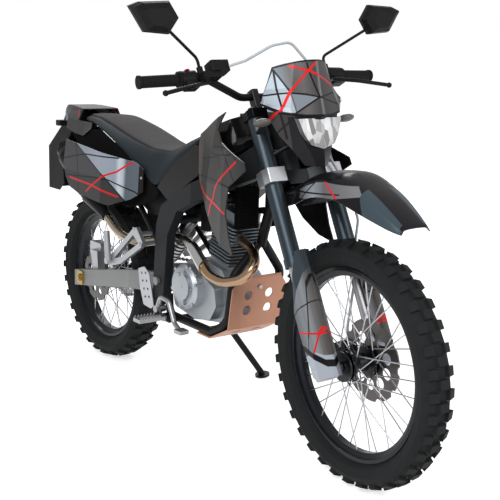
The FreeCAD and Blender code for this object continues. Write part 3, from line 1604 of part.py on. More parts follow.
def rear_caliper():
    """Caliper over the top of the rear disc, on a bracket from the right arm."""
    disc_mid = REAR_DISC_Y
    arm_face = -ARM_Y + ARM_T / 2 + SEAT_GAP
    x, z = REAR_AXLE.x + 26, REAR_AXLE.z + REAR_DISC_R + 12
    body = fillet_long(box(x - 42, x + 42, disc_mid - 22, disc_mid + 18, z - 24, z + 26), 7, Y_AXIS)
    foot = REAR_AXLE.z + 30
    bracket = plate_xz([(x + 16, foot), (x + 58, foot), (x + 48, z), (x - 4, z)], arm_face, disc_mid - 12)
    slot = disc_y(REAR_AXLE.x, REAR_AXLE.z, disc_mid - 5, disc_mid + 5, REAR_DISC_R + 5)
    return body.fuse(bracket).cut(slot)


def stand_place():
    """Turns a shape drawn about +Z at the origin onto the stand's hinge."""
    return FreeCAD.Placement(STAND_PIVOT, FreeCAD.Rotation(Z_AXIS, STAND_AXIS))


def on_stand(shape):
    placed = shape.copy()
    placed.Placement = stand_place().multiply(placed.Placement)
    return placed


def stand_lug():
    """Ear on the cradle that the side stand's fork straddles."""
    eye = on_stand(Part.makeCylinder(14, STAND_LUG_T, V(0, 0, -STAND_LUG_T / 2)))
    hanger = plate_xz([(-124, 262), (-98, 262), (-70, 298), (-112, 298)], 100, 150)
    slab = on_stand(box(-80, 80, -80, 80, -STAND_LUG_T / 2, STAND_LUG_T / 2))
    return eye.fuse(hanger.common(slab))


def stand_pin(radius):
    return on_stand(Part.makeCylinder(radius, 40, V(0, 0, -20)))


def side_stand():
    """Fork on the ear, leg and a flat foot that reaches the ground."""
    inverse = STANCE.inverse()
    at_ground = V(STAND_FOOT_X - ORIGIN_X, STANCE.multVec(V(0, STAND_FOOT_Y, 40)).y, 0)
    foot = Part.makeCylinder(26, 7, at_ground)
    foot.Placement = inverse.multiply(foot.Placement)
    ankle = inverse.multVec(at_ground + V(0, 0, 6.6))
    along = (ankle - STAND_PIVOT).normalize()
    half = STAND_LUG_T / 2 + 0.5
    cheeks = [
        on_stand(Part.makeCylinder(13, 6, V(0, 0, half))),
        on_stand(Part.makeCylinder(13, 6, V(0, 0, -half - 6))),
    ]
    neck = STAND_PIVOT + along * 24
    flat = (along - STAND_AXIS * along.dot(STAND_AXIS)).normalize()
    turn = math.degrees(math.atan2(*stand_angle(flat)))
    arm = box(0, 34, -11, 11, -half - 6, half + 6).cut(box(-20, 19, -20, 20, -half, half))
    arm.rotate(V(0, 0, 0), Z_AXIS, turn)
    leg = Part.makeCylinder(STAND_R, (ankle - neck).Length, neck, along)
    return fused([on_stand(arm), leg, foot, stand_pin(STAND_PIN_R)] + cheeks)


def stand_angle(direction):
    """Components of a direction along the drawn Y and X axes of the stand's hinge."""
    local = stand_place().Rotation.inverted().multVec(direction)
    return local.y, local.x


# Placing


def steered(turn_deg=STEER_REST_DEG):
    """Turns the steering about its axis."""
    pivot = V(HEAD_X, 0, HEAD_Z)
    return FreeCAD.Placement(V(0, 0, 0), FreeCAD.Rotation(STEER_AXIS, turn_deg), pivot)


def stance():
    """Placement from the upright motorcycle to the one on its side stand."""
    lean = FreeCAD.Placement(V(0, 0, 0), FreeCAD.Rotation(X_AXIS, -LEAN_DEG))
    front = lean.multiply(steered())
    front_tips = tread_tips(FRONT_AXLE, FRONT_RADIUS, FRONT_CROWN, FRONT_PITCHES)
    rear_tips = tread_tips(REAR_AXLE, REAR_RADIUS, REAR_CROWN, REAR_PITCHES)
    front_low = min((front.multVec(tip) for tip in front_tips), key=lambda tip: tip.z)
    rear_low = min((lean.multVec(tip) for tip in rear_tips), key=lambda tip: tip.z)
    pitch = math.degrees(math.atan2(front_low.z - rear_low.z, front_low.x - rear_low.x))
    nod = FreeCAD.Placement(V(0, 0, 0), FreeCAD.Rotation(Y_AXIS, pitch), rear_low)
    lift = FreeCAD.Placement(V(-ORIGIN_X, -ORIGIN_Y, -rear_low.z), FreeCAD.Rotation())
    return lift.multiply(nod).multiply(lean)


STANCE = stance()
STEERED_STANCE = STANCE.multiply(steered())


def build():
    front = {}
    rear = {}
    steering = {}
    chassis = {}
    stand = {}

    front["front_tyre"] = tyre(
        FRONT_AXLE, FRONT_RADIUS, FRONT_CROWN, FRONT_RIM_R, FRONT_RIM_HALF, FRONT_PITCHES
    )
    front["front_rim"] = rim(FRONT_AXLE, FRONT_RIM_R, FRONT_RIM_HALF)
    front["front_hub"] = spoked_hub(FRONT_AXLE, FRONT_RIM_R, FRONT_FLANGE_R, FRONT_FLANGE_Y, FRONT_HUB_HALF)
    front["front_disc"] = brake_disc(FRONT_AXLE, FRONT_DISC_R, FRONT_DISC_Y, 10)
    rear["rear_tyre"] = tyre(
        REAR_AXLE, REAR_RADIUS, REAR_CROWN, REAR_RIM_R, REAR_RIM_HALF, REAR_PITCHES
    )
    rear["rear_rim"] = rim(REAR_AXLE, REAR_RIM_R, REAR_RIM_HALF)
    rear["rear_hub"] = spoked_hub(REAR_AXLE, REAR_RIM_R, REAR_FLANGE_R, REAR_FLANGE_Y, REAR_HUB_HALF)
    rear["rear_disc"] = brake_disc(REAR_AXLE, REAR_DISC_R, REAR_DISC_Y, 8)
    rear["rear_sprocket"] = sprocket()

    stems, housings = mirrors()
    steering["triple_clamps"] = to_fork(triple_clamps())
    steering["fork_outer_tubes"] = to_fork(fork_outer_tubes())
    steering["fork_inner_tubes"] = to_fork(fork_inner_tubes())
    steering["fork_guards"] = to_fork(fork_guards())
    steering["front_axle"] = to_fork(front_axle())
    steering["handlebar"] = to_fork(handlebar())
    steering["grips"] = to_fork(grips())
    steering["bar_controls"] = to_fork(bar_controls())
    steering["levers"] = to_fork(levers())
    steering["mirrors"] = pair(to_fork(stems).fuse(housings))
    steering["front_fender"] = to_fork(front_fender())
    steering["headlight_mask"] = at_head(headlight_mask())
    steering["headlight"] = headlight()
    steering["instrument"] = to_fork(instrument())
    steering["front_caliper"] = to_fork(front_caliper())
    steering["front_indicators"] = to_fork(front_indicators())
    steering["brake_hose"] = to_fork(brake_hose())

    lamp, blinker = rear_lamps()
    chassis["frame"] = frame()
    chassis["cradle"] = cradle()
    chassis["subframe"] = subframe()
    chassis["swingarm"] = swingarm()
    chassis["rear_axle"] = rear_axle()
    chassis["chain"] = chain()
    chassis["engine_cases"] = engine_cases()
    chassis["engine_covers"] = engine_covers()
    chassis["cylinder"] = cylinder()
    chassis["header_pipe"] = header_pipe()
    chassis["silencer"] = silencer()
    chassis["skid_plate"] = skid_plate()
    chassis["oil_cooler"] = oil_cooler()
    chassis["rear_shock"] = rear_shock()
    chassis["shrouds"] = shrouds()
    chassis["side_panels"] = Part.makeCompound([side_panels(), side_covers()])
    chassis["inner_panels"] = inner_panels()
    chassis["tank"] = tank()
    chassis["seat"] = seat()
    chassis["airbox"] = airbox()
    chassis["tail"] = tail()
    chassis["plate_holder"] = fused([plate_holder(), blinker, mirrored(blinker)])
    chassis["tail_lamp"] = lamp
    chassis["footpegs"] = footpegs()
    chassis["peg_hangers"] = Part.makeCompound([passenger_pegs(), heel_guards()])
    chassis["foot_controls"] = foot_controls()
    chassis["rear_caliper"] = rear_caliper()
    stand["side_stand"] = side_stand()
    return front, rear, steering, chassis, stand


def main():
    os.makedirs("parts", exist_ok=True)
    front, rear, steering, chassis, stand = build()
    for group, placement in (
        (front, STEERED_STANCE),
        (steering, STEERED_STANCE),
        (rear, STANCE),
        (chassis, STANCE),
        (stand, STANCE),
    ):
        for name, shape in group.items():
            placed = shape.copy()
            placed.Placement = placement.multiply(placed.Placement)
            placed.exportStep(f"parts/{name}.step")


if __name__ == "__main__":
    main()
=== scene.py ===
import bmesh
import bpy
import json
import math
from mathutils import Matrix, Vector

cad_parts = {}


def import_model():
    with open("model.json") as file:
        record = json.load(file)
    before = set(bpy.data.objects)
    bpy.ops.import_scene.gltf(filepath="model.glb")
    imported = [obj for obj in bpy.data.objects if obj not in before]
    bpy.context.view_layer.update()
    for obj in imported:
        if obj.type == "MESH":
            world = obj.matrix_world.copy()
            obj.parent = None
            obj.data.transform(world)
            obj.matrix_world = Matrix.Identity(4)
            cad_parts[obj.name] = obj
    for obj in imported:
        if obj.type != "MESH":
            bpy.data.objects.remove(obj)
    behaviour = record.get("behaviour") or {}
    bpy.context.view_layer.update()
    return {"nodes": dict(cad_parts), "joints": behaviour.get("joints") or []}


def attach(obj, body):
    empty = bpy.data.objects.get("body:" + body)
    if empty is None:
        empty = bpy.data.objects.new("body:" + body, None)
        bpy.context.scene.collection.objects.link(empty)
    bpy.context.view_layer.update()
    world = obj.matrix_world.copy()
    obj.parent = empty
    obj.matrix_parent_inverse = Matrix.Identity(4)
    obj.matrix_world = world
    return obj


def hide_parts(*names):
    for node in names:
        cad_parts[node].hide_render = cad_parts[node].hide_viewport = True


# Looks of a trail motorcycle that leans on its side stand. Lengths are in metres, apart from the
# lines and areas painted on the panels, which are in millimetres.

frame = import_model()
nodes = frame["nodes"]
joints = {joint["name"]: joint for joint in frame["joints"]}

# Frames that move with the machine

RAKE = math.radians(27)
REAR_AXLE_X = -0.690
REAR_AXLE_Z = 0.320
LEAN = math.radians(9)
X, Y, Z = 0, 1, 2  # numbers of a frame's axes


def basis(origin, x, y, z):
    """Frame at an origin with three directions as its axes."""
    matrix = Matrix((x, y, z)).transposed().to_4x4()
    matrix.translation = origin
    return matrix


def joint_place(name):
    return Vector(joints[name]["pos_m"])


def joint_axis(name):
    return Vector(joints[name]["axis"]).normalized()


def bike_frame():
    """Upright motorcycle to the world: +X forward, +Y left, +Z up the machine."""
    across, steer = joint_axis("rear_wheel_spin"), joint_axis("steer")
    ahead = across.cross(steer)
    x = ahead * math.cos(RAKE) - steer * math.sin(RAKE)
    z = ahead * math.sin(RAKE) + steer * math.cos(RAKE)
    origin = joint_place("rear_wheel_spin") - x * REAR_AXLE_X - z * REAR_AXLE_Z
    return basis(origin, x, across, z)


def fork_frame():
    """Steering coordinates to the world: +X ahead of the steering axis, +Z up along it."""
    across, steer = joint_axis("front_wheel_spin"), joint_axis("steer")
    return basis(joint_place("steer"), across.cross(steer), across, steer)


def wheel_frame(joint, carrier):
    """The carrier's frame, moved to the wheel's axle."""
    matrix = carrier.copy()
    matrix.translation = joint_place(joint)
    return matrix


BIKE = bike_frame()
FORK = fork_frame()
# At the middle of the steering head and turned with it, but upright.
HEAD = FORK @ Matrix.Rotation(RAKE, 4, "Y")
FRONT_WHEEL = wheel_frame("front_wheel_spin", FORK)
REAR_WHEEL = wheel_frame("rear_wheel_spin", BIKE)

# Node helpers


def add(tree, kind, **values):
    """Adds a shader node; a value is a socket to link or a setting.

    Its key is a property, an input's name, or i0, i1, ... for an input's number.
    """
    node = tree.nodes.new("ShaderNode" + kind)
    for key, value in values.items():
        if hasattr(node, key) and key not in node.inputs:
            setattr(node, key, value)
            continue
        numbered = key[0] == "i" and key[1:].isdigit()
        slot = node.inputs[int(key[1:]) if numbered else key]
        if isinstance(value, bpy.types.NodeSocket):
            tree.links.new(value, slot)
        else:
            slot.default_value = value
    return node


def calc(tree, operation, a, b=0.0, c=0.0):
    return add(tree, "Math", operation=operation, i0=a, i1=b, i2=c).outputs[0]


def clamp_ramp(tree, value, low, high):
    """0 below low, 1 above high."""
    node = add(tree, "MapRange", Value=value)
    node.inputs["From Min"].default_value = low
    node.inputs["From Max"].default_value = high
    return node.outputs[0]


def blend_colour(tree, factor, a, b):
    """Colour a at factor 0 and b at factor 1."""
    node = add(tree, "Mix", data_type="RGBA")
    for slot, value in ((0, factor), (6, a), (7, b)):  # the sockets that mix colours
        if isinstance(value, bpy.types.NodeSocket):
            tree.links.new(value, node.inputs[slot])
        elif slot == 0:
            node.inputs[slot].default_value = value
        else:
            node.inputs[slot].default_value = (*value, 1)
    return node.outputs[2]


def local(tree, matrix=None):
    """Coordinates in one of the machine's own frames."""
    here = add(tree, "TexCoord").outputs["Object"]
    if matrix is None:
        return here
    inverse = matrix.inverted()
    mapping = add(tree, "Mapping", Vector=here)
    mapping.inputs["Location"].default_value = inverse.translation
    mapping.inputs["Rotation"].default_value = inverse.to_euler()
    return mapping.outputs[0]


def combine(tree, operation, a, b):
    """Vector from two vectors."""
    return add(tree, "VectorMath", operation=operation, i0=a, i1=b).outputs[0]


def dot_product(tree, a, b):
    return add(tree, "VectorMath", operation="DOT_PRODUCT", i0=a, i1=b).outputs["Value"]


def length(tree, vector):
    return add(tree, "VectorMath", operation="LENGTH", i0=vector).outputs["Value"]


def component(tree, vector, axis):
    return add(tree, "SeparateXYZ", Vector=vector).outputs[axis]


def noise(tree, scale, detail):
    return add(tree, "TexNoise", Vector=local(tree), Scale=scale, Detail=detail).outputs["Fac"]


def flattened(tree, vector, axis):
    """The same vector with one component set to nothing."""
    keep = [1.0, 1.0, 1.0]
    keep[axis] = 0.0
    return combine(tree, "MULTIPLY", vector, keep)


def segment_distance(tree, flat, start, end):
    """Distance from a flattened position to a straight line between two points."""
    start, end = Vector(start), Vector(end)
    run = end - start
    along = run.normalized()
    offset = combine(tree, "SUBTRACT", flat, start)
    dot = dot_product(tree, offset, along)
    held = calc(tree, "MINIMUM", calc(tree, "MAXIMUM", dot, 0.0), run.length)
    foot = add(tree, "VectorMath", operation="SCALE", i0=along, Scale=held).outputs[0]
    return length(tree, combine(tree, "SUBTRACT", offset, foot))


def line_mask(tree, flat, points, width):
    """1 on a polyline of that width."""
    nearest = None
    for start, end in zip(points, points[1:]):
        distance = segment_distance(tree, flat, start, end)
        nearest = distance if nearest is None else calc(tree, "MINIMUM", nearest, distance)
    return clamp_ramp(tree, nearest, width / 2 + LINE_BLUR, width / 2 - LINE_BLUR)


# Materials

# Half widths over which the edges of painted lines and areas fade
LINE_BLUR, AREA_BLUR = 0.0005, 0.0004
SPECULAR_LEVEL = 0.14
# Scale of a finish's patches, their share of its colour and the noise values they span
CLOUD_SCALE = 9.0
CLOUD_SHADE = 0.82
CLOUD_SPAN = (0.3, 0.75)
STEEL = (0.42, 0.42, 0.43)
SILVER = (0.52, 0.53, 0.56)
RED = (0.72, 0.012, 0.014)
INSIDE_BLACK = (0.01, 0.01, 0.011)
LINE_BLACK = (0.006, 0.006, 0.008)
FORK_SLATE = (0.045, 0.06, 0.072)
HUB_R = 0.054
RING_TURN = 5200.0  # of the disc's ring pattern, in radians a metre
INNER_FACE_SPAN = (-0.25, -0.35)
# Limits between two colours of one piece, and the headlight's pattern of painted reflections and
# shade
BEAK_HALF = 0.0345
SIDE_PANEL_FRONT = -0.232
LAMP_REFLECTION_STRETCH = (0.0, 1.0, 0.45)
LAMP_REFLECTION_CELLS = 60.0
LAMP_SHADE_SPAN = (0.005, 0.06)
LAMP_GLASS_BACK = 0.124
SHIELD_FRONT = 0.150
YOKE_PAINT_LOW = 0.03
YOKE_MIDDLE_HALF = 0.070
AXLE_NUT_FACE = 0.129


def surface(name, colour, metallic, roughness, spread, grain, bump, **more):
    """Plain finish with a little variation in colour and roughness and a fine grain."""
    material = bpy.data.materials.new(name)
    material.use_nodes = True
    tree = material.node_tree
    shader = tree.nodes["Principled BSDF"]
    shader.inputs["Metallic"].default_value = metallic
    shader.inputs["Specular IOR Level"].default_value = SPECULAR_LEVEL
    for key, value in more.items():
        shader.inputs[key.replace("_", " ")].default_value = value
    cloud = noise(tree, CLOUD_SCALE, 4.0)
    rough = add(tree, "MapRange", Value=cloud)
    rough.inputs["To Min"].default_value = roughness - spread
    rough.inputs["To Max"].default_value = roughness + spread
    tree.links.new(rough.outputs[0], shader.inputs["Roughness"])
    darker = [CLOUD_SHADE * part for part in colour]
    tint = blend_colour(tree, clamp_ramp(tree, cloud, *CLOUD_SPAN), darker, colour)
    tree.links.new(tint, shader.inputs["Base Color"])
    if bump:
        fine = noise(tree, grain, 3.0)
        relief = add(tree, "Bump", Strength=bump, Distance=0.001, Height=fine)
        tree.links.new(relief.outputs[0], shader.inputs["Normal"])
    return material


def base_link(material):
    """The socket that colours a finish, with its shader and its tree."""
    tree = material.node_tree
    shader = tree.nodes["Principled BSDF"]
    return tree, shader, shader.inputs["Base Color"].links[0].from_socket


def overlay(material, mask_maker, colour):
    """Paints a colour where a mask says so."""
    tree, shader, base = base_link(material)
    mask = mask_maker(tree)
    tree.links.new(blend_colour(tree, mask, base, colour), shader.inputs["Base Color"])


def dress(name, material):
    slots = nodes[name].data.materials
    slots.clear()
    slots.append(material)


def axle_distance(tree, wheel):
    return length(tree, flattened(tree, local(tree, wheel), Y))


def hub_finish(name, wheel):
    """Black hub with bright spokes outside its flanges."""
    material = surface(name, SILVER, 1.0, 0.28, 0.05, 400, 0.03)

    def near_axle(tree):
        return clamp_ramp(tree, axle_distance(tree, wheel), HUB_R + LINE_BLUR, HUB_R - LINE_BLUR)

    overlay(material, near_axle, (0.03, 0.031, 0.034))
    return material


def disc_finish(name, wheel):
    """Ground steel, darker in fine rings."""
    material = surface(name, (0.15, 0.14, 0.135), 0.8, 0.34, 0.06, 600, 0.02)
    tree, shader, base = base_link(material)
    turn = calc(tree, "MULTIPLY", axle_distance(tree, wheel), RING_TURN)
    shade = clamp_ramp(tree, calc(tree, "SINE", turn), -1.0, 1.0)
    tint = blend_colour(tree, shade, (0.11, 0.1, 0.1), base)
    tree.links.new(tint, shader.inputs["Base Color"])
    return material


def in_plane(points, axis):
    """Pairs in the plane across an axis as whole positions, from millimetres."""
    if axis == Y:
        return [(a / 1000, 0.0, b / 1000) for a, b in points]
    return [(0.0, a / 1000, b / 1000) for a, b in points]


def draw(material, place, axis, lines, width, colour):
    """Paints polylines that run over a panel, seen along one axis of a frame."""

    def mask(tree):
        flat = flattened(tree, local(tree, place), axis)
        whole = None
        for points in lines:
            line = line_mask(tree, flat, in_plane(points, axis), width / 1000)
            whole = line if whole is None else calc(tree, "MAXIMUM", whole, line)
        return whole

    overlay(material, mask, colour)


def inside_shape(tree, flat, points, axis):
    """1 inside a convex outline whose corners run clockwise or counter-clockwise."""
    corners = [Vector(p) for p in in_plane(points, axis)]
    middle = sum(corners, Vector()) / len(corners)
    facing = Vector((0, 1, 0)) if axis == Y else Vector((1, 0, 0))
    least = None
    for start, end in zip(corners, corners[1:] + corners[:1]):
        normal = facing.cross(end - start).normalized()
        if normal.dot(middle - start) < 0:
            normal = -normal
        depth = calc(tree, "SUBTRACT", dot_product(tree, flat, normal), normal.dot(start))
        least = depth if least is None else calc(tree, "MINIMUM", least, depth)
    return clamp_ramp(tree, least, -AREA_BLUR, AREA_BLUR)


def fill(material, place, axis, points, colour):
    """Paints a convex outline on a panel."""

    def mask(tree):
        return inside_shape(tree, flattened(tree, local(tree, place), axis), points, axis)

    overlay(material, mask, colour)


def sweep(material, place, axis, along_axis, stops, points=None):
    """Colours a panel, or a convex part of it, by stops of (millimetres, colour) along an axis."""
    tree, shader, base = base_link(material)
    here = local(tree, place)
    along = component(tree, here, along_axis)
    tint = stops[0][1]
    for (low, _), (high, colour) in zip(stops, stops[1:]):
        tint = blend_colour(tree, clamp_ramp(tree, along, low / 1000, high / 1000), tint, colour)
    where = 1.0
    if points:
        where = inside_shape(tree, flattened(tree, here, axis), points, axis)
    tree.links.new(blend_colour(tree, where, base, tint), shader.inputs["Base Color"])


def beyond(place, axis, limit, width=0.001, both_sides=False):
    """Mask of what lies past a limit along one axis of a frame, blurred over a width.

    A negative width masks what lies short of the limit.
    """

    def mask(tree):
        here = component(tree, local(tree, place), axis)
        if both_sides:
            here = calc(tree, "ABSOLUTE", here)
        return clamp_ramp(tree, here, limit - width, limit + width)

    return mask


def panel_paint(name, colour, metallic=0.25, roughness=0.3):
    return surface(name, colour, metallic, roughness, 0.04, 500, 0.01,
                   Coat_Weight=0.1, Coat_Roughness=0.1)


def mask_paint():
    """Visor, cheeks and chin of the headlight mask, with painted reflections, highlight and shade
    on the visor and its right cheek.
    """
    paint = panel_paint("mask_paint", (0.05, 0.046, 0.046), 0.2, 0.38)
    # Painted light across the visor: pale bluish reflections on the right, a painted highlight
    # along the middle crease, and painted shade towards the left.
    visor_painted_light_stops = (
        (-135, (0.26, 0.31, 0.36)),
        (-80, (0.14, 0.16, 0.18)),
        (-66, (0.1, 0.095, 0.095)),
        (-40, (0.13, 0.125, 0.125)),
        (-6, (0.06, 0.056, 0.056)),
        (0, (0.2, 0.2, 0.2)),
        (8, (0.05, 0.048, 0.048)),
        (60, (0.07, 0.07, 0.07)),
        (130, (0.035, 0.035, 0.035)),
    )
    visor = [(-150, 146), (-100, 122), (-50, 115), (50, 115), (100, 122), (150, 146),
             (150, 300), (-150, 300)]
    sweep(paint, HEAD, X, Y, visor_painted_light_stops, visor)
    # Pale facets on the right cheek: painted reflections, palest on the outer facet and darker
    # inwards.
    fill(paint, HEAD, X, [(-128, 168), (-76, 176), (-72, 124), (-142, 124)], (0.42, 0.48, 0.54))
    fill(paint, HEAD, X, [(-94, 236), (-76, 178), (-128, 168)], (0.36, 0.42, 0.48))
    fill(paint, HEAD, X, [(-72, 174), (-8, 165), (-68, 126)], (0.22, 0.25, 0.29))
    chin = [(-87, 112), (87, 112), (75, 60), (58, 0), (40, -60), (-40, -60), (-58, 0), (-75, 60)]
    fill(paint, HEAD, X, chin, (0.008, 0.008, 0.01))
    rim = [(-96, 243), (-48, 261), (0, 266), (48, 261), (96, 243), (120, 190), (146, 146),
           (100, 122), (50, 115), (-50, 115), (-100, 122), (-146, 146), (-120, 190), (-96, 243)]
    draw(paint, HEAD, X, [rim], 8, LINE_BLACK)
    draw(paint, HEAD, X, [
        [(-94, 236), (-102, 119)],
        [(-94, 236), (-73, 179)],
        [(-128, 167), (-102, 172), (-75, 176), (-37, 173), (-4, 165), (90, 176)],
        [(-4, 165), (72, 144), (141, 122)],
        [(-4, 165), (-76, 120)],
        [(-4, 165), (-21, 232), (-24, 256)],
        [(-100, 119), (-79, 50)],
        [(-76, 108), (-94, 75), (-104, 50)],
    ], 4.2, LINE_BLACK)
    draw(paint, HEAD, X, [
        [(-5, 256), (-74, 179), (-111, 116), (-118, 98)],
        [(-63, 248), (-21, 235), (37, 209), (91, 183)],
    ], 5.5, RED)
    return paint


def fender_paint():
    """Black above, with a grey side panel and its lines, and a bluish painted reflection on the
    sides of its beak.
    """
    paint = surface("fender_paint", (0.008, 0.008, 0.01), 0.0, 0.24, 0.04, 300, 0.0,
                    Coat_Weight=0.14)
    side = [(112, -152), (205, -165), (243, -177), (335, -224), (360, -264), (285, -238),
            (112, -186)]
    side_stops = (
        (120, (0.1, 0.095, 0.1)),
        (190, (0.3, 0.33, 0.37)),
        (240, (0.13, 0.13, 0.14)),
        (340, (0.2, 0.2, 0.21)),
    )
    sweep(paint, FORK, Y, X, side_stops, side)
    beak = [(352, -225), (395, -260), (425, -318), (437, -366), (437, -430), (352, -330)]

    # Painted reflection: a bluish tint on the outer sides of the beak.
    def beak_reflection(tree):
        shape = inside_shape(tree, flattened(tree, local(tree, FORK), Y), beak, Y)
        outer = beyond(FORK, Y, BEAK_HALF, 0.0015, both_sides=True)
        return calc(tree, "MULTIPLY", shape, outer(tree))

    overlay(paint, beak_reflection, (0.05, 0.072, 0.09))
    draw(paint, FORK, Y, [[(112, -158), (292, -230)], [(116, -186), (200, -164)]], 4, LINE_BLACK)
    draw(paint, FORK, Y, [[(246, -180), (282, -236)]], 5, RED)
    return paint


def shroud_paint():
    """Dark panels beside the tank with their black and red lines, and lighter, warmer bands along
    them that are painted reflections.
    """
    paint = panel_paint("shroud_paint", (0.05, 0.044, 0.042))
    # Painted reflections: lighter, warmer bands along the shroud's length.
    stops = (
        (90, (0.07, 0.054, 0.046)),
        (150, (0.036, 0.031, 0.028)),
        (260, (0.034, 0.031, 0.03)),
        (340, (0.055, 0.053, 0.054)),
        (420, (0.03, 0.028, 0.028)),
    )
    sweep(paint, BIKE, Y, X, stops)
    draw(paint, BIKE, Y, [
        [(266, 924), (326, 872), (367, 823)],
        [(229, 907), (278, 910), (316, 910)],
        [(202, 889), (245, 885), (271, 886), (348, 895)],
        [(130, 859), (221, 874), (261, 881)],
        [(271, 886), (283, 846)],
        [(116, 808), (200, 812), (269, 810), (340, 802)],
        [(300, 926), (332, 906), (353, 898), (380, 878)],
    ], 4.6, LINE_BLACK)
    draw(paint, BIKE, Y, [
        [(374, 878), (336, 852), (302, 827), (279, 811), (260, 789), (246, 755), (226, 730),
         (217, 702)],
        [(125, 782), (181, 760), (236, 747), (278, 736), (320, 723)],
    ], 6.5, RED)
    overlay(paint, inner_face(BIKE), INSIDE_BLACK)
    return paint


def inner_face(place):
    """Mask of faces that look towards the machine's middle plane."""

    def mask(tree):
        here = component(tree, local(tree, place), Y)
        normal = add(tree, "NewGeometry").outputs["True Normal"]
        looks = dot_product(tree, normal, place.col[Y].xyz.normalized())
        inward = calc(tree, "MULTIPLY", looks, calc(tree, "SIGN", here))
        return clamp_ramp(tree, inward, *INNER_FACE_SPAN)

    return mask


def side_paint():
    """Side panels with their lines, a painted highlight band across their grey, and a dark front
    that stands for the black side covers and for painted shade in the gap ahead of them.
    """
    paint = panel_paint("side_paint", (0.045, 0.043, 0.045))
    dark_corner = [(-720, 724), (-454, 734), (-381, 733), (-544, 806), (-650, 854), (-720, 860)]
    fill(paint, BIKE, Y, dark_corner, (0.058, 0.057, 0.062))
    # The grey areas are the panels' own colour; the bright band near -325 mm is a painted
    # highlight.
    stops = (
        (-620, (0.27, 0.3, 0.36)),
        (-450, (0.36, 0.4, 0.47)),
        (-345, (0.33, 0.38, 0.45)),
        (-325, (0.62, 0.68, 0.74)),
        (-305, (0.5, 0.56, 0.62)),
        (-290, (0.11, 0.135, 0.16)),
        (-215, (0.13, 0.155, 0.185)),
    )
    light_rear = [(-675, 866), (-401, 890), (-401, 741), (-545, 807)]
    light_front = [(-401.5, 890), (-200, 890), (-200, 640), (-262, 654), (-401.5, 741)]
    sweep(paint, BIKE, Y, X, stops, light_rear)
    sweep(paint, BIKE, Y, X, stops, light_front)
    draw(paint, BIKE, Y, [
        [(-655, 857), (-544, 806), (-402, 741), (-303, 680), (-262, 655)],
        [(-700, 776), (-633, 789), (-544, 806), (-387, 810), (-330, 812)],
        [(-612, 850), (-610, 828), (-585, 713), (-583, 660)],
        [(-720, 716), (-626, 720), (-454, 733), (-381, 733), (-244, 707), (-205, 690)],
    ], 4.6, LINE_BLACK)
    draw(paint, BIKE, Y, [
        [(-262, 806), (-269, 802), (-338, 765), (-407, 744), (-486, 700), (-522, 676)],
        [(-650, 712), (-618, 709), (-487, 703), (-327, 681)],
    ], 6.5, RED)
    # Black front of the panel: partly the black side covers, partly painted shade where the gap
    # ahead of the panels lies.
    overlay(paint, beyond(BIKE, X, SIDE_PANEL_FRONT), (0.012, 0.0105, 0.01))
    overlay(paint, inner_face(BIKE), INSIDE_BLACK)
    return paint


def tail_paint():
    paint = surface("tail_paint", (0.011, 0.01, 0.01), 0.0, 0.25, 0.04, 300, 0.0, Coat_Weight=0.2)
    flank = [(-945, 936), (-800, 936), (-780, 905), (-900, 905)]
    fill(paint, BIKE, Y, flank, (0.04, 0.038, 0.038))
    draw(paint, BIKE, Y, [[(-958, 932), (-840, 905), (-790, 936)]], 3, LINE_BLACK)
    draw(paint, BIKE, Y, [[(-800, 940), (-786, 920)]], 5, RED)
    return paint


def guard_paint():
    """Fork guards: slate above, grey in the middle and pale below a black band at the foot; the
    grey is lighter on a facet near the front, a painted highlight, with painted shade towards its
    edges.
    """
    paint = panel_paint("guard_paint", (0.16, 0.17, 0.185))
    # Painted light across the guard: a lighter facet near its front and painted shade towards both
    # edges.
    stops = (
        (20, (0.1, 0.105, 0.115)),
        (60, (0.2, 0.215, 0.235)),
        (80, (0.27, 0.29, 0.31)),
        (92, (0.2, 0.2, 0.205)),
        (100, (0.085, 0.078, 0.074)),
    )
    sweep(paint, FORK, Y, X, stops)
    upper = [(-60, -470), (50, -470), (67, -456), (97, -381), (104, -372), (120, -300),
             (-60, -300)]
    fill(paint, FORK, Y, upper, FORK_SLATE)
    foot = [(-60, -560), (37, -577), (74, -599), (125, -596), (125, -720), (-60, -720)]
    fill(paint, FORK, Y, foot, (0.42, 0.46, 0.52))
    band = [(-20, -566), (32, -580), (68, -610), (111, -646), (140, -670)]
    draw(paint, FORK, Y, [band], 15, LINE_BLACK)
    draw(paint, FORK, Y, [
        [(101, -390), (88, -457), (70, -540), (52, -585)],
        [(30, -484), (43, -475), (101, -463)],
    ], 3.4, LINE_BLACK)
    draw(paint, FORK, Y, [
        [(22, -532), (60, -543), (99, -554)],
        [(101, -538), (95, -556), (69, -598)],
    ], 5, RED)
    return paint


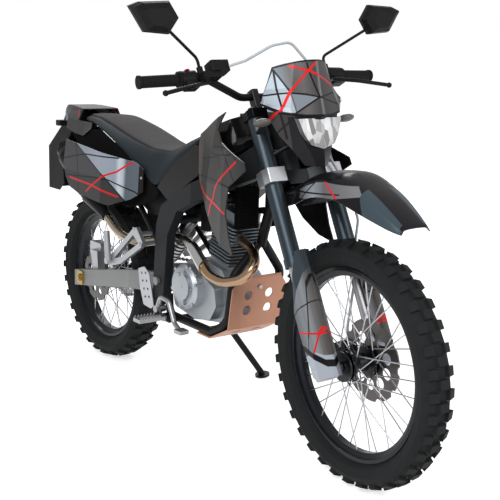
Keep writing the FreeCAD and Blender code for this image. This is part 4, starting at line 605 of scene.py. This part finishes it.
def lamp_glass():
    """Headlight: a bright reflector behind glass with painted reflections of its facets as light
    and dark cells, painted shade towards its bottom, and a dark bucket behind.
    """
    material = surface("headlight_glass", (0.46, 0.47, 0.48), 0.5, 0.16, 0.03, 300, 0.0,
                       Coat_Weight=0.1)
    tree, shader, base = base_link(material)
    spot = local(tree, HEAD)
    stretched = combine(tree, "MULTIPLY", spot, LAMP_REFLECTION_STRETCH)
    # Painted reflections: light and dark cells on the reflector.
    cells = add(tree, "TexVoronoi", Vector=stretched, Scale=LAMP_REFLECTION_CELLS)
    shade = clamp_ramp(tree, component(tree, cells.outputs["Color"], X), 0.0, 1.0)
    # Painted shade towards the bottom of the lamp.
    low = clamp_ramp(tree, component(tree, spot, Z), *LAMP_SHADE_SPAN)
    facet_reflections = blend_colour(tree, shade, (0.07, 0.055, 0.05), base)
    tint = blend_colour(tree, low, (0.1, 0.11, 0.12), facet_reflections)
    tree.links.new(tint, shader.inputs["Base Color"])
    relief = add(tree, "Bump", Strength=0.7, Distance=0.004, Height=shade)
    tree.links.new(relief.outputs[0], shader.inputs["Normal"])
    overlay(material, beyond(HEAD, X, LAMP_GLASS_BACK, -0.002), (0.01, 0.01, 0.012))
    return material


def header_finish():
    """Bronzed pipe ahead, chromed heat shield, and a paler pipe behind it."""
    pipe = surface("header_bronze", (0.42, 0.27, 0.17), 1.0, 0.24, 0.08, 300, 0.02)
    overlay(pipe, beyond(BIKE, X, SHIELD_FRONT, -0.0005), (0.55, 0.54, 0.52))
    overlay(pipe, beyond(BIKE, X, 0.0, -0.05), (0.46, 0.39, 0.3))
    return pipe


def dress_all():
    """Gives every node its finish, and makes the pieces that stand for some of them."""
    tyre = surface("tyre_rubber", (0.02, 0.021, 0.022), 0.0, 0.72, 0.08, 900, 0.25,
                   Specular_IOR_Level=0.12)
    black_metal = surface("black_metal", (0.009, 0.009, 0.01), 0.2, 0.42, 0.08, 700, 0.08)
    black_plastic = surface("black_plastic", (0.008, 0.008, 0.009), 0.0, 0.5, 0.07, 1400, 0.12)
    inner_black = surface("inner_black", (0.012, 0.012, 0.013), 0.0, 0.7, 0.07, 1400, 0.12,
                          Specular_IOR_Level=0.0)
    gloss_black = surface("gloss_black", (0.01, 0.009, 0.009), 0.0, 0.2, 0.04, 300, 0.0,
                          Coat_Weight=0.2)
    silver = surface("cast_silver", SILVER, 0.85, 0.36, 0.07, 800, 0.1)
    steel = surface("plain_steel", STEEL, 1.0, 0.34, 0.08, 600, 0.05)
    fork = surface("fork_blue_grey", FORK_SLATE, 0.6, 0.3, 0.05, 500, 0.02)
    engine = surface("engine_silver", (0.44, 0.47, 0.5), 0.8, 0.4, 0.08, 700, 0.16)
    fins = surface("fin_metal", (0.16, 0.18, 0.2), 0.75, 0.45, 0.08, 700, 0.12)
    slate = surface("frame_slate", (0.018, 0.021, 0.023), 0.0, 0.5, 0.06, 900, 0.1)
    arm = surface("arm_grey", (0.27, 0.28, 0.28), 0.6, 0.4, 0.07, 700, 0.08)
    can = surface("silencer_dark", (0.014, 0.014, 0.016), 0.4, 0.4, 0.06, 500, 0.06)
    copper = surface("skid_copper", (0.62, 0.32, 0.215), 0.35, 0.45, 0.08, 500, 0.06)
    chain = surface("chain_steel", (0.2, 0.2, 0.21), 0.9, 0.4, 0.1, 600, 0.1)
    grip = surface("grip_rubber", (0.009, 0.009, 0.01), 0.0, 0.7, 0.06, 900, 0.2)
    seat_side = surface("seat_cover", (0.02, 0.029, 0.034), 0.0, 0.6, 0.05, 1300, 0.2)
    hose = surface("hose_clear", (0.55, 0.6, 0.64), 0.0, 0.3, 0.05, 400, 0.02)
    lamp_red = surface("lamp_red", (0.5, 0.008, 0.012), 0.0, 0.2, 0.04, 300, 0.0, Coat_Weight=0.7)
    mount = surface("yoke_metal", SILVER, 0.85, 0.36, 0.07, 800, 0.1)
    overlay(mount, beyond(FORK, Z, YOKE_PAINT_LOW), (0.008, 0.008, 0.009))
    overlay(mount, beyond(FORK, Y, YOKE_MIDDLE_HALF, -0.001, both_sides=True), (0.03, 0.032, 0.034))
    axle = surface("rear_axle_metal", STEEL, 1.0, 0.34, 0.08, 600, 0.05)
    overlay(axle, beyond(BIKE, Y, AXLE_NUT_FACE, 0.0001, both_sides=True), (0.42, 0.3, 0.1))
    rim = surface("rim_black", (0.012, 0.014, 0.018), 0.25, 0.3, 0.05, 500, 0.02, Coat_Weight=0.15)
    groups = (
        (tyre, "front_tyre rear_tyre"),
        (rim, "front_rim rear_rim"),
        (hub_finish("front_hub_and_spokes", FRONT_WHEEL), "front_hub"),
        (hub_finish("rear_hub_and_spokes", REAR_WHEEL), "rear_hub"),
        (disc_finish("front_disc_steel", FRONT_WHEEL), "front_disc"),
        (disc_finish("rear_disc_steel", REAR_WHEEL), "rear_disc"),
        (steel, "rear_sprocket front_axle fork_inner_tubes rear_shock footpegs foot_controls"),
        (silver, "peg_hangers rear_caliper"),
        (mount, "triple_clamps"),
        (axle, "rear_axle"),
        (fork, "fork_outer_tubes"),
        (guard_paint(), "fork_guards"),
        (shroud_paint(), "shrouds"),
        (side_paint(), "side_panels"),
        (tail_paint(), "tail"),
        (black_metal, "handlebar levers cradle subframe front_caliper side_stand"),
        (black_plastic, "bar_controls mirrors instrument airbox plate_holder"),
        (inner_black, "inner_panels oil_cooler"),
        (gloss_black, "tank"),
        (slate, "frame"),
        (arm, "swingarm"),
        (engine, "engine_cases engine_covers"),
        (fins, "cylinder"),
        (header_finish(), "header_pipe"),
        (can, "silencer"),
        (copper, "skid_plate"),
        (grip, "grips"),
        (hose, "brake_hose"),
        (lamp_red, "tail_lamp"),
        (lamp_glass(), "headlight"),
    )
    for material, names in groups:
        for name in names.split():
            dress(name, material)
    # The top's smoother cover is a little warmer than the side; that warmth is a painted brownish
    # reflection.
    cover = surface("seat_top", (0.03, 0.026, 0.026), 0.0, 0.62, 0.05, 1300, 0.1,
                    Specular_IOR_Level=0.08)
    seat(seat_side, cover)
    fender(fender_paint())
    mask_shell(mask_paint())
    indicators(black_plastic)
    chain_links(chain)
    fittings(steel)


# Shapes of the scene's own pieces


def eased(knots, x):
    """Values at x on smooth curves through rows of (x, values...), without overshoot."""
    i = max(k for k in range(len(knots) - 1) if knots[k][0] <= x or k == 0)
    gaps = [b[0] - a[0] for a, b in zip(knots, knots[1:])]
    values = []
    for column in range(1, len(knots[0])):
        rises = [(b[column] - a[column]) / gap for a, b, gap in zip(knots, knots[1:], gaps)]

        def slope(k):
            if k == 0:
                return rises[0]
            if k == len(rises):
                return rises[-1]
            before, after = rises[k - 1], rises[k]
            return 0.0 if before * after <= 0 else 2 * before * after / (before + after)

        t = (x - knots[i][0]) / gaps[i]
        start, end = knots[i][column], knots[i + 1][column]
        a, b = slope(i) * gaps[i], slope(i + 1) * gaps[i]
        square, cube = t * t, t * t * t
        value = start * (2 * cube - 3 * square + 1) + end * (3 * square - 2 * cube)
        values.append(value + a * (cube - 2 * square + t) + b * (cube - square))
    return values


def linked(name, data):
    """New object of the scene for a mesh, a light or a camera."""
    made = bpy.data.objects.new(name, data)
    bpy.context.scene.collection.objects.link(made)
    return made


def piece(name, mesh, material):
    """New object of the scene for a mesh with one material."""
    mesh.materials.append(material)
    return linked(name, mesh)


def spaced(start, end, count):
    return [start + (end - start) * i / (count - 1) for i in range(count)]


def skin(name, rows, place, material, body, loop=False, thickness=0.0):
    """Smooth surface through rows of points given in one of the machine's frames.

    A loop closes each row and caps both ends; a thickness makes a wall of an open surface.
    """
    width = len(rows[0])
    points = [place @ Vector(point) for row in rows for point in row]
    faces = []
    for r in range(len(rows) - 1):
        for c in range(width if loop else width - 1):
            d = (c + 1) % width
            faces.append((r * width + c, r * width + d, (r + 1) * width + d, (r + 1) * width + c))
    if loop:
        faces.append(tuple(range(width))[::-1])
        faces.append(tuple((len(rows) - 1) * width + c for c in range(width)))
    mesh = bpy.data.meshes.new(name)
    mesh.from_pydata(points, [], faces)
    mesh.validate()
    mesh.polygons.foreach_set("use_smooth", [True] * len(mesh.polygons))
    made = piece(name, mesh, material)
    if thickness:
        solid = made.modifiers.new("wall", "SOLIDIFY")
        solid.thickness = thickness
        solid.offset = -1
    smooth = made.modifiers.new("smooth", "SUBSURF")
    smooth.levels = smooth.render_levels = 1
    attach(made, body)
    return made


# Place along the machine, height of the top and of the lower edge, half widths of both
SEAT_STATIONS = (
    (-0.770, 0.926, 0.906, 0.034, 0.050),
    (-0.756, 0.932, 0.906, 0.052, 0.070),
    (-0.650, 0.933, 0.906, 0.080, 0.100),
    (-0.560, 0.919, 0.888, 0.084, 0.114),
    (-0.430, 0.889, 0.849, 0.086, 0.124),
    (-0.332, 0.868, 0.811, 0.084, 0.127),
    (-0.245, 0.855, 0.773, 0.082, 0.128),
    (-0.167, 0.855, 0.737, 0.080, 0.126),
    (-0.112, 0.868, 0.779, 0.080, 0.122),
    (-0.041, 0.897, 0.834, 0.080, 0.116),
    (0.010, 0.917, 0.866, 0.076, 0.108),
    (0.056, 0.937, 0.910, 0.066, 0.094),
)
SEAT_SEAM = 10  # the seam's place in the right half of a section


def seat_section(x, top, low, half_top, half_low):
    """Lip, swelling side, sunken seam and gently crowned top."""
    rise = top - low
    shoulder = top - 0.009
    side = half_low - half_top
    climb = shoulder - low - 0.3 * rise
    right = [
        (half_low - 0.008, low + 0.001),
        (half_low - 0.001, low + 0.001),
        (half_low, low + 0.005),
        (half_low - 0.0025, low + 0.0075),
        (half_low + 0.0005, low + 0.010),
        (half_low + 0.0005, low + 0.2 * rise + 0.004),
        (half_low - 0.10 * side + 0.001, low + 0.3 * rise + 0.16 * climb),
        (half_low - 0.45 * side + 0.004, low + 0.3 * rise + 0.50 * climb),
        (half_low - 0.86 * side + 0.003, low + 0.3 * rise + 0.88 * climb),
        (half_top + 0.001, shoulder - 0.0005),
        (half_top - 0.0015, shoulder + 0.0005),
        (half_top - 0.005, shoulder + 0.0048),
        (0.82 * half_top, top - 0.0022),
        (0.55 * half_top, top - 0.0008),
        (0.25 * half_top, top + 0.0004),
    ]
    middle = [(x, 0.0, top + 0.0006)]
    return [(x, -y, z) for y, z in right] + middle + [(x, y, z) for y, z in reversed(right)]


def seat(side, cover):
    """Foam saddle: smooth cover above the seam, grained cover below it.

    A smaller section past each end rounds it off.
    """
    rows = []
    back, back_round, nose = SEAT_STATIONS[0][0], SEAT_STATIONS[1][0], SEAT_STATIONS[-1][0]
    places = spaced(back, back_round, 4) + spaced(-0.740, nose, 46)
    for x in [back - 0.006] + places + [nose + 0.0045]:
        held = min(max(x, back), nose)
        top, low, half_top, half_low = eased(SEAT_STATIONS, held)
        if x != held:
            top, low = top - 0.006, low + 0.003
            half_top, half_low = 0.8 * half_top, 0.86 * half_low
        rows.append(seat_section(x, top, low, half_top, half_low))
    made = skin("seat_cushion", rows, BIKE, side, "chassis", loop=True)
    made.data.materials.append(cover)
    width = len(rows[0])
    for number, face in enumerate(made.data.polygons):
        column = number % width
        if SEAT_SEAM <= column < width - 1 - SEAT_SEAM and number < width * (len(rows) - 1):
            face.material_index = 1
    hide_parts("seat")


# Places ahead of and along the steering axis, half width, rise of the crown and drop of the edge
FENDER_STATIONS = (
    (-0.060, -0.122, 0.058, 0.010, 0.030),
    (0.074, -0.144, 0.064, 0.016, 0.038),
    (0.170, -0.154, 0.086, 0.020, 0.040),
    (0.270, -0.188, 0.090, 0.020, 0.040),
    (0.350, -0.260, 0.080, 0.014, 0.036),
    (0.412, -0.338, 0.060, 0.008, 0.024),
    (0.442, -0.382, 0.046, 0.003, 0.010),
)
FENDER_WALL = 0.0035
FENDER_BOSS_U, FENDER_BOSS_Y, FENDER_BOSS_R = 0.010, 0.018, 0.009
FENDER_BOSS_SPAN = (-0.1233, -0.112)


def fender_section(u, s, half, rise, drop):
    """Arch with folded-down edges, its crown a little ahead of them."""
    profile = (
        (1.0, -drop),
        (0.99, -drop + 0.003),
        (0.95, -0.62 * drop),
        (0.90, -0.25 * drop),
        (0.855, 0.0),
        (0.80, 0.22 * rise),
        (0.66, 0.58 * rise),
        (0.50, 0.80 * rise),
        (0.25, 0.95 * rise),
        (0.0, rise),
    )
    right = [(u + 0.35 * h, -w * half, s + h) for w, h in profile]
    return right + [(x, -y, z) for x, y, z in reversed(right[:-1])]


def fender(material):
    """Smooth high mudguard; its two bosses to the lower yoke are small drums."""
    rows = []
    for u in spaced(FENDER_STATIONS[0][0], FENDER_STATIONS[-1][0], 40):
        rows.append(fender_section(u, *eased(FENDER_STATIONS, u)))
    made = skin("mudguard", rows, FORK, material, "steering", thickness=FENDER_WALL)
    for y in (-FENDER_BOSS_Y, FENDER_BOSS_Y):
        foot, top = ((FENDER_BOSS_U, y, s) for s in FENDER_BOSS_SPAN)
        drum("mudguard_boss", FORK, foot, top, FENDER_BOSS_R, material, "steering", "gloss_black")
    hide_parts("front_fender")


# Heights of the cheeks and of the visor's edges above the steering head, and half widths there
CHEEK_Z, VISOR_EDGE_Z, VISOR_TOP_Z = 0.050, 0.119, 0.256
VISOR_EDGE_HALF, VISOR_TOP_HALF = 0.141, 0.096
# How far the edges move in the middle, and how much more or less at their ends
CROWN_RISE, CROWN_DROP = 0.010, 0.023
SKIRT_DROP, SKIRT_SWEEP = 0.004, 0.030
MASK_EDGE = 0.018  # longest edge of a triangle
MASK_CREASE = 0.35  # angle from which an edge stays sharp


def share(value, low, high):
    """How far a value has come from low to high, from 0 to 1."""
    return min(max((value - low) / (high - low), 0.0), 1.0)


def mask_lift(y, z):
    """How far the visor's edges bow away from the plain mask, at a place across and up it."""
    high = share(z, VISOR_EDGE_Z, VISOR_TOP_Z)
    low = share(z, CHEEK_Z, VISOR_EDGE_Z) * (1.0 - high)
    crown = CROWN_RISE - CROWN_DROP * (abs(y) / VISOR_TOP_HALF) ** 2
    skirt = SKIRT_SWEEP * (abs(y) / VISOR_EDGE_HALF) ** 3 - SKIRT_DROP
    return high * crown + low * skirt


def mask_shell(material):
    """Headlight mask with a bowed upper edge and a swept lower edge to its visor."""
    source = bmesh.new()
    source.from_mesh(nodes["headlight_mask"].data)
    for _ in range(3):
        long_edges = [edge for edge in source.edges if edge.calc_length() > MASK_EDGE]
        bmesh.ops.subdivide_edges(source, edges=long_edges, cuts=1)
        bmesh.ops.triangulate(source, faces=source.faces[:])
    inverse = HEAD.inverted()
    for vertex in source.verts:
        spot = inverse @ vertex.co
        spot.z += mask_lift(spot.y, spot.z)
        vertex.co = HEAD @ spot
    source.normal_update()
    for face in source.faces:
        face.smooth = True
    for edge in source.edges:
        edge.smooth = len(edge.link_faces) == 2 and edge.calc_face_angle() < MASK_CREASE
    mesh = bpy.data.meshes.new("mask_shell")
    source.to_mesh(mesh)
    source.free()
    made = piece("mask_shell", mesh, material)
    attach(made, "steering")
    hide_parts("headlight_mask")


# Places on the left, and half sizes of the oval head
INDICATOR_STALK = ((0.056, 0.116, 0.040), (0.130, 0.138, 0.040))
INDICATOR_STALK_R = 0.006
INDICATOR_MIDDLE = (0.130, 0.146, 0.041)
INDICATOR_HALVES = (0.020, 0.028, 0.0105)


def on_side(spot, side):
    """A left-hand place, or with side -1 its right-hand twin."""
    return (spot[0], side * spot[1], spot[2])


def indicators(stalk):
    """Oval front indicators on short stalks."""
    lens = surface("indicator_lens", (0.16, 0.15, 0.14), 0.0, 0.12, 0.04, 300, 0.0,
                   Coat_Weight=0.2)
    for side in (-1, 1):
        foot, tip = (on_side(spot, side) for spot in INDICATOR_STALK)
        drum("indicator_stalk", FORK, foot, tip, INDICATOR_STALK_R, stalk,
             "steering", "black_plastic")
        mesh = bpy.data.meshes.new("indicator_head")
        shape = bmesh.new()
        bmesh.ops.create_uvsphere(shape, u_segments=32, v_segments=16, radius=1.0)
        middle = Matrix.Translation(on_side(INDICATOR_MIDDLE, side))
        shape.transform(FORK @ middle @ Matrix.Diagonal((*INDICATOR_HALVES, 1.0)))
        for face in shape.faces:
            face.smooth = True
        shape.to_mesh(mesh)
        shape.free()
        made = piece("indicator_head", mesh, lens)
        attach(made, "steering")
        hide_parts("front_indicators")


CHAIN_PITCH = 0.0127
CHAIN_Y = 0.066
# Radii of the loop round the sprockets, and the front sprocket's place
REAR_WRAP_R, FRONT_WRAP_R = 0.092, 0.030
FRONT_SPROCKET = (-0.052, 0.436)
LINK_END_R, LINK_T = 0.0052, 0.0015
OUTER_LINK, INNER_LINK = 0.0051, 0.0034  # distances of the plates from the chain's middle
PIN_R, PIN_HALF = 0.0019, 0.0068
PIN_SIDES = 10


def polar(radius, angle):
    return radius * Vector((math.cos(angle), math.sin(angle)))


def bearing(run):
    return math.atan2(run.y, run.x)


def arc(radius, start, turn, steps):
    """Points about the origin at equal steps of a turn."""
    angles = [start + turn * k / steps for k in range(steps + 1)]
    return [(radius * math.cos(angle), radius * math.sin(angle)) for angle in angles]


def chain_path():
    """Places and headings at equal steps round both sprockets, in the machine's side plane."""
    front, rear = Vector(FRONT_SPROCKET), Vector((REAR_AXLE_X, REAR_AXLE_Z))
    apart = front - rear
    swing = math.acos((REAR_WRAP_R - FRONT_WRAP_R) / apart.length)
    run = math.sqrt(apart.length ** 2 - (REAR_WRAP_R - FRONT_WRAP_R) ** 2)
    lower, upper = bearing(apart) - swing, bearing(apart) + swing

    def wrapped(centre, radius, start, at):
        angle = start + at / radius
        return centre + polar(radius, angle), angle + math.pi / 2

    def straight(start, end, at):
        return start.lerp(end, at / run), bearing(end - start)

    low_run = (rear + polar(REAR_WRAP_R, lower), front + polar(FRONT_WRAP_R, lower))
    high_run = (front + polar(FRONT_WRAP_R, upper), rear + polar(REAR_WRAP_R, upper))
    legs = (
        (REAR_WRAP_R * (2 * math.pi - 2 * swing), wrapped, (rear, REAR_WRAP_R, upper)),
        (run, straight, low_run),
        (FRONT_WRAP_R * 2 * swing, wrapped, (front, FRONT_WRAP_R, lower)),
        (run, straight, high_run),
    )
    total = sum(leg[0] for leg in legs)
    count = round(total / CHAIN_PITCH / 2) * 2
    places = []
    for i in range(count):
        at, leg = total * i / count, 0
        while leg < len(legs) - 1 and at >= legs[leg][0]:
            at -= legs[leg][0]
            leg += 1
        _, place, values = legs[leg]
        places.append(place(*values, at))
    return places


def chain_links(material):
    """Side plates, notched at their pins, and the pins along the chain's loop."""
    places = chain_path()
    outline = []
    for side in (1, -1):
        for a, b in arc(LINK_END_R, side * math.pi / 2, math.pi, 6):
            outline.append((side * CHAIN_PITCH / 2 + a, b))
    points, faces = [], []

    def prism(centre, turn, shape, low, high):
        """Adds a shape's solid between two places across the machine."""
        base, n = len(points), len(shape)
        ahead = polar(1.0, turn)
        up = Vector((-ahead.y, ahead.x))
        for y in (low, high):
            for a, b in shape:
                spot = centre + ahead * a + up * b
                points.append(BIKE @ Vector((spot.x, y, spot.y)))
        faces.append(tuple(base + i for i in range(n)))
        faces.append(tuple(base + n + i for i in range(n))[::-1])
        for i in range(n):
            j = (i + 1) % n
            faces.append((base + j, base + i, base + n + i, base + n + j))

    pin = arc(PIN_R, 0.0, 2 * math.pi, PIN_SIDES)[:-1]
    for i, (here, turn) in enumerate(places):
        after = places[(i + 1) % len(places)][0]
        near = INNER_LINK if i % 2 else OUTER_LINK
        for side in (-1, 1):
            low, high = sorted((CHAIN_Y + side * near, CHAIN_Y + side * (near + LINK_T)))
            prism((here + after) / 2, bearing(after - here), outline, low, high)
        prism(here, turn, pin, CHAIN_Y - PIN_HALF, CHAIN_Y + PIN_HALF)
    mesh = bpy.data.meshes.new("chain_links")
    mesh.from_pydata(points, [], faces)
    made = piece("chain_links", mesh, material)
    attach(made, "chassis")
    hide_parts("chain")


# Outer end on the left, length inwards and radius
PANEL_BOLTS = (
    ((-0.2185, 0.1500, 0.7575), 0.006, 0.005),
    ((-0.238, 0.1665, 0.585), 0.005, 0.006),
    ((-0.196, 0.1665, 0.540), 0.005, 0.006),
)
# Places on the clutch cover's face
COVER_BOLTS = (
    (0.018, -0.1474, 0.478),
    (0.0655, -0.1337, 0.505),
    (0.0895, -0.1312, 0.487),
    (0.0745, -0.1383, 0.438),
)
COVER_BOLT_R, COVER_BOLT_ROOT, COVER_BOLT_HEAD = 0.0062, 0.002, 0.0045
BOLT_SIDES, BOLT_BEVEL = 12, 0.001
SKID_BOLT = ((0.250, 0.0, 0.470), (0.258, 0.0, 0.470))
SKID_BOLT_R = 0.007
KILL_SWITCH = ((0.004, -0.262, 0.256), (0.004, -0.262, 0.2605))
KILL_SWITCH_R = 0.008


def fittings(steel):
    """Bolts and the small coloured pieces that the photograph shows."""
    red = surface("switch_red", (0.6, 0.02, 0.06), 0.0, 0.35, 0.04, 300, 0.0)
    for (x, y, z), depth, radius in PANEL_BOLTS:
        for side in (-1, 1):
            drum("panel_bolt", BIKE, (x, side * y, z), (x, side * (y - depth), z), radius, steel,
                 "chassis", "steel_plain", BOLT_SIDES, BOLT_BEVEL)
    for x, y, z in COVER_BOLTS:
        root, head = (x, y + COVER_BOLT_ROOT, z), (x, y - COVER_BOLT_HEAD, z)
        drum("cover_bolt", BIKE, root, head, COVER_BOLT_R, steel,
             "chassis", "steel_plain", BOLT_SIDES, BOLT_BEVEL)
    drum("skid_plate_bolt", BIKE, *SKID_BOLT, SKID_BOLT_R, steel,
         "chassis", "skid_copper", BOLT_SIDES, BOLT_BEVEL)
    drum("kill_switch", FORK, *KILL_SWITCH, KILL_SWITCH_R, red,
         "steering", "lamp_red", 20, 0.0015)


def drum(name, place, start, end, radius, material, body, slot, sides=24, bevel=0.0):
    """Cylinder between two points of one of the machine's frames, with an optional bevel."""
    start, end = place @ Vector(start), place @ Vector(end)
    run = end - start
    ring = [2 * math.pi * i / sides for i in range(sides)]
    turn = run.to_track_quat("Z", "Y").to_matrix()
    levels = [(0.0, radius - bevel), (run.length, radius - bevel)]
    if bevel:
        levels[1:1] = [(bevel, radius), (run.length - bevel, radius)]
    points = []
    for height, r in levels:
        for angle in ring:
            spot = Vector((r * math.cos(angle), r * math.sin(angle), height))
            points.append(start + turn @ spot)
    last = (len(levels) - 1) * sides
    faces = [tuple(range(sides))[::-1], tuple(last + i for i in range(sides))]
    for level in range(len(levels) - 1):
        low = level * sides
        for i in range(sides):
            j = (i + 1) % sides
            faces.append((low + i, low + j, low + sides + j, low + sides + i))
    mesh = bpy.data.meshes.new(name)
    mesh.from_pydata(points, [], faces)
    mesh.polygons.foreach_set("use_smooth", [len(face) == 4 for face in faces])
    made = piece(name, mesh, material)
    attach(made, body)


# Studio

# Fitted to the photograph. The place is counted from the ground under the middle of the wheelbase,
# in the machine's own directions with its lean taken out.
CAMERA_PLACE = (2.574, -1.593, 1.459)
CAMERA_YAW = math.radians(144.72)
CAMERA_PITCH = math.radians(-17.01)
CAMERA_ROLL = math.radians(-5.75)
CAMERA_LENS = 70.44
CAMERA_SENSOR = 36
# Name, place, width and height, and power in watts
LIGHTS = (
    ("key", (2.2, -3.4, 3.6), (3.0, 2.0), 120),
    ("fill", (4.2, 1.6, 2.2), (2.4, 2.4), 55),
    ("back", (-3.0, 2.2, 3.0), (2.4, 2.0), 60),
)
LIGHT_TARGET = (0, 0, 0.6)
WHITE = (1, 1, 1, 1)
WORLD_STRENGTH = 0.5
WORLD_IN_REFLECTIONS = 0.6
FLOOR_HALF = 14.0
FLOOR_Z = -0.0012
FLOOR_LIT = (0.72, 0.72, 0.72, 1)
FLOOR_SHOWN = (0.95, 0.95, 0.95, 1)
FLOOR_GLOW = 0.54


def camera():
    """Camera at the photograph's angle."""
    ground = BIKE @ Matrix.Rotation(LEAN, 4, "X")
    flat = math.cos(CAMERA_PITCH)
    ahead = Vector((
        flat * math.cos(CAMERA_YAW),
        flat * math.sin(CAMERA_YAW),
        math.sin(CAMERA_PITCH),
    ))
    right = ahead.cross(Vector((0, 0, 1))).normalized()
    up = right.cross(ahead)
    turned_right = right * math.cos(CAMERA_ROLL) + up * math.sin(CAMERA_ROLL)
    turned_up = up * math.cos(CAMERA_ROLL) - right * math.sin(CAMERA_ROLL)
    data = bpy.data.cameras.new("camera")
    data.sensor_width = CAMERA_SENSOR
    data.lens = CAMERA_LENS
    seen = linked("camera", data)
    seen.matrix_world = ground @ basis(Vector(CAMERA_PLACE), turned_right, turned_up, -ahead)
    bpy.context.scene.camera = seen


def softbox(name, place, size, power):
    """Rectangular light that faces the machine."""
    data = bpy.data.lights.new(name, "AREA")
    data.shape = "RECTANGLE"
    data.size, data.size_y = size
    data.energy = power
    lamp = linked(name, data)
    lamp.location = place
    aim = Vector(LIGHT_TARGET) - Vector(place)
    lamp.rotation_euler = aim.to_track_quat("-Z", "Y").to_euler()


def world():
    """Even grey light, white to the camera and a little brighter in reflections."""
    sky = bpy.data.worlds.new("studio")
    bpy.context.scene.world = sky
    sky.use_nodes = True
    tree = sky.node_tree
    tree.nodes.clear()
    rays = add(tree, "LightPath").outputs
    seen = calc(tree, "MAXIMUM", rays["Is Camera Ray"], rays["Is Transmission Ray"])
    reflected = calc(tree, "MULTIPLY", rays["Is Glossy Ray"], WORLD_IN_REFLECTIONS)
    seen = calc(tree, "MAXIMUM", seen, reflected)
    strength = calc(tree, "MAXIMUM", seen, WORLD_STRENGTH)
    background = add(tree, "Background", Color=WHITE, Strength=strength)
    output = add(tree, "OutputWorld")
    tree.links.new(background.outputs[0], output.inputs[0])


def floor():
    """Pale floor that is white to the camera apart from the shadow on it."""
    mesh = bpy.data.meshes.new("floor")
    corners = [(FLOOR_HALF * a, FLOOR_HALF * b, 0) for a, b in ((-1, -1), (1, -1), (1, 1), (-1, 1))]
    mesh.from_pydata(corners, [], [(0, 1, 2, 3)])
    material = bpy.data.materials.new("floor_white")
    material.use_nodes = True
    tree = material.node_tree
    tree.nodes.clear()
    lit = add(tree, "BsdfDiffuse", Color=FLOOR_LIT)
    shown = add(tree, "BsdfDiffuse", Color=FLOOR_SHOWN)
    glow = add(tree, "Emission", Color=WHITE, Strength=FLOOR_GLOW)
    both = add(tree, "AddShader", i0=shown.outputs[0], i1=glow.outputs[0])
    rays = add(tree, "LightPath").outputs
    seen = calc(tree, "MAXIMUM", rays["Is Camera Ray"], rays["Is Glossy Ray"])
    seen = calc(tree, "MAXIMUM", seen, rays["Is Transmission Ray"])
    choose = add(tree, "MixShader", i0=seen, i1=lit.outputs[0], i2=both.outputs[0])
    output = add(tree, "OutputMaterial")
    tree.links.new(choose.outputs[0], output.inputs[0])
    plane = piece("floor", mesh, material)
    plane.location.z = FLOOR_Z


def studio():
    camera()
    world()
    floor()
    for light in LIGHTS:
        softbox(*light)
    bpy.context.scene.view_settings.view_transform = "Standard"


dress_all()
studio()
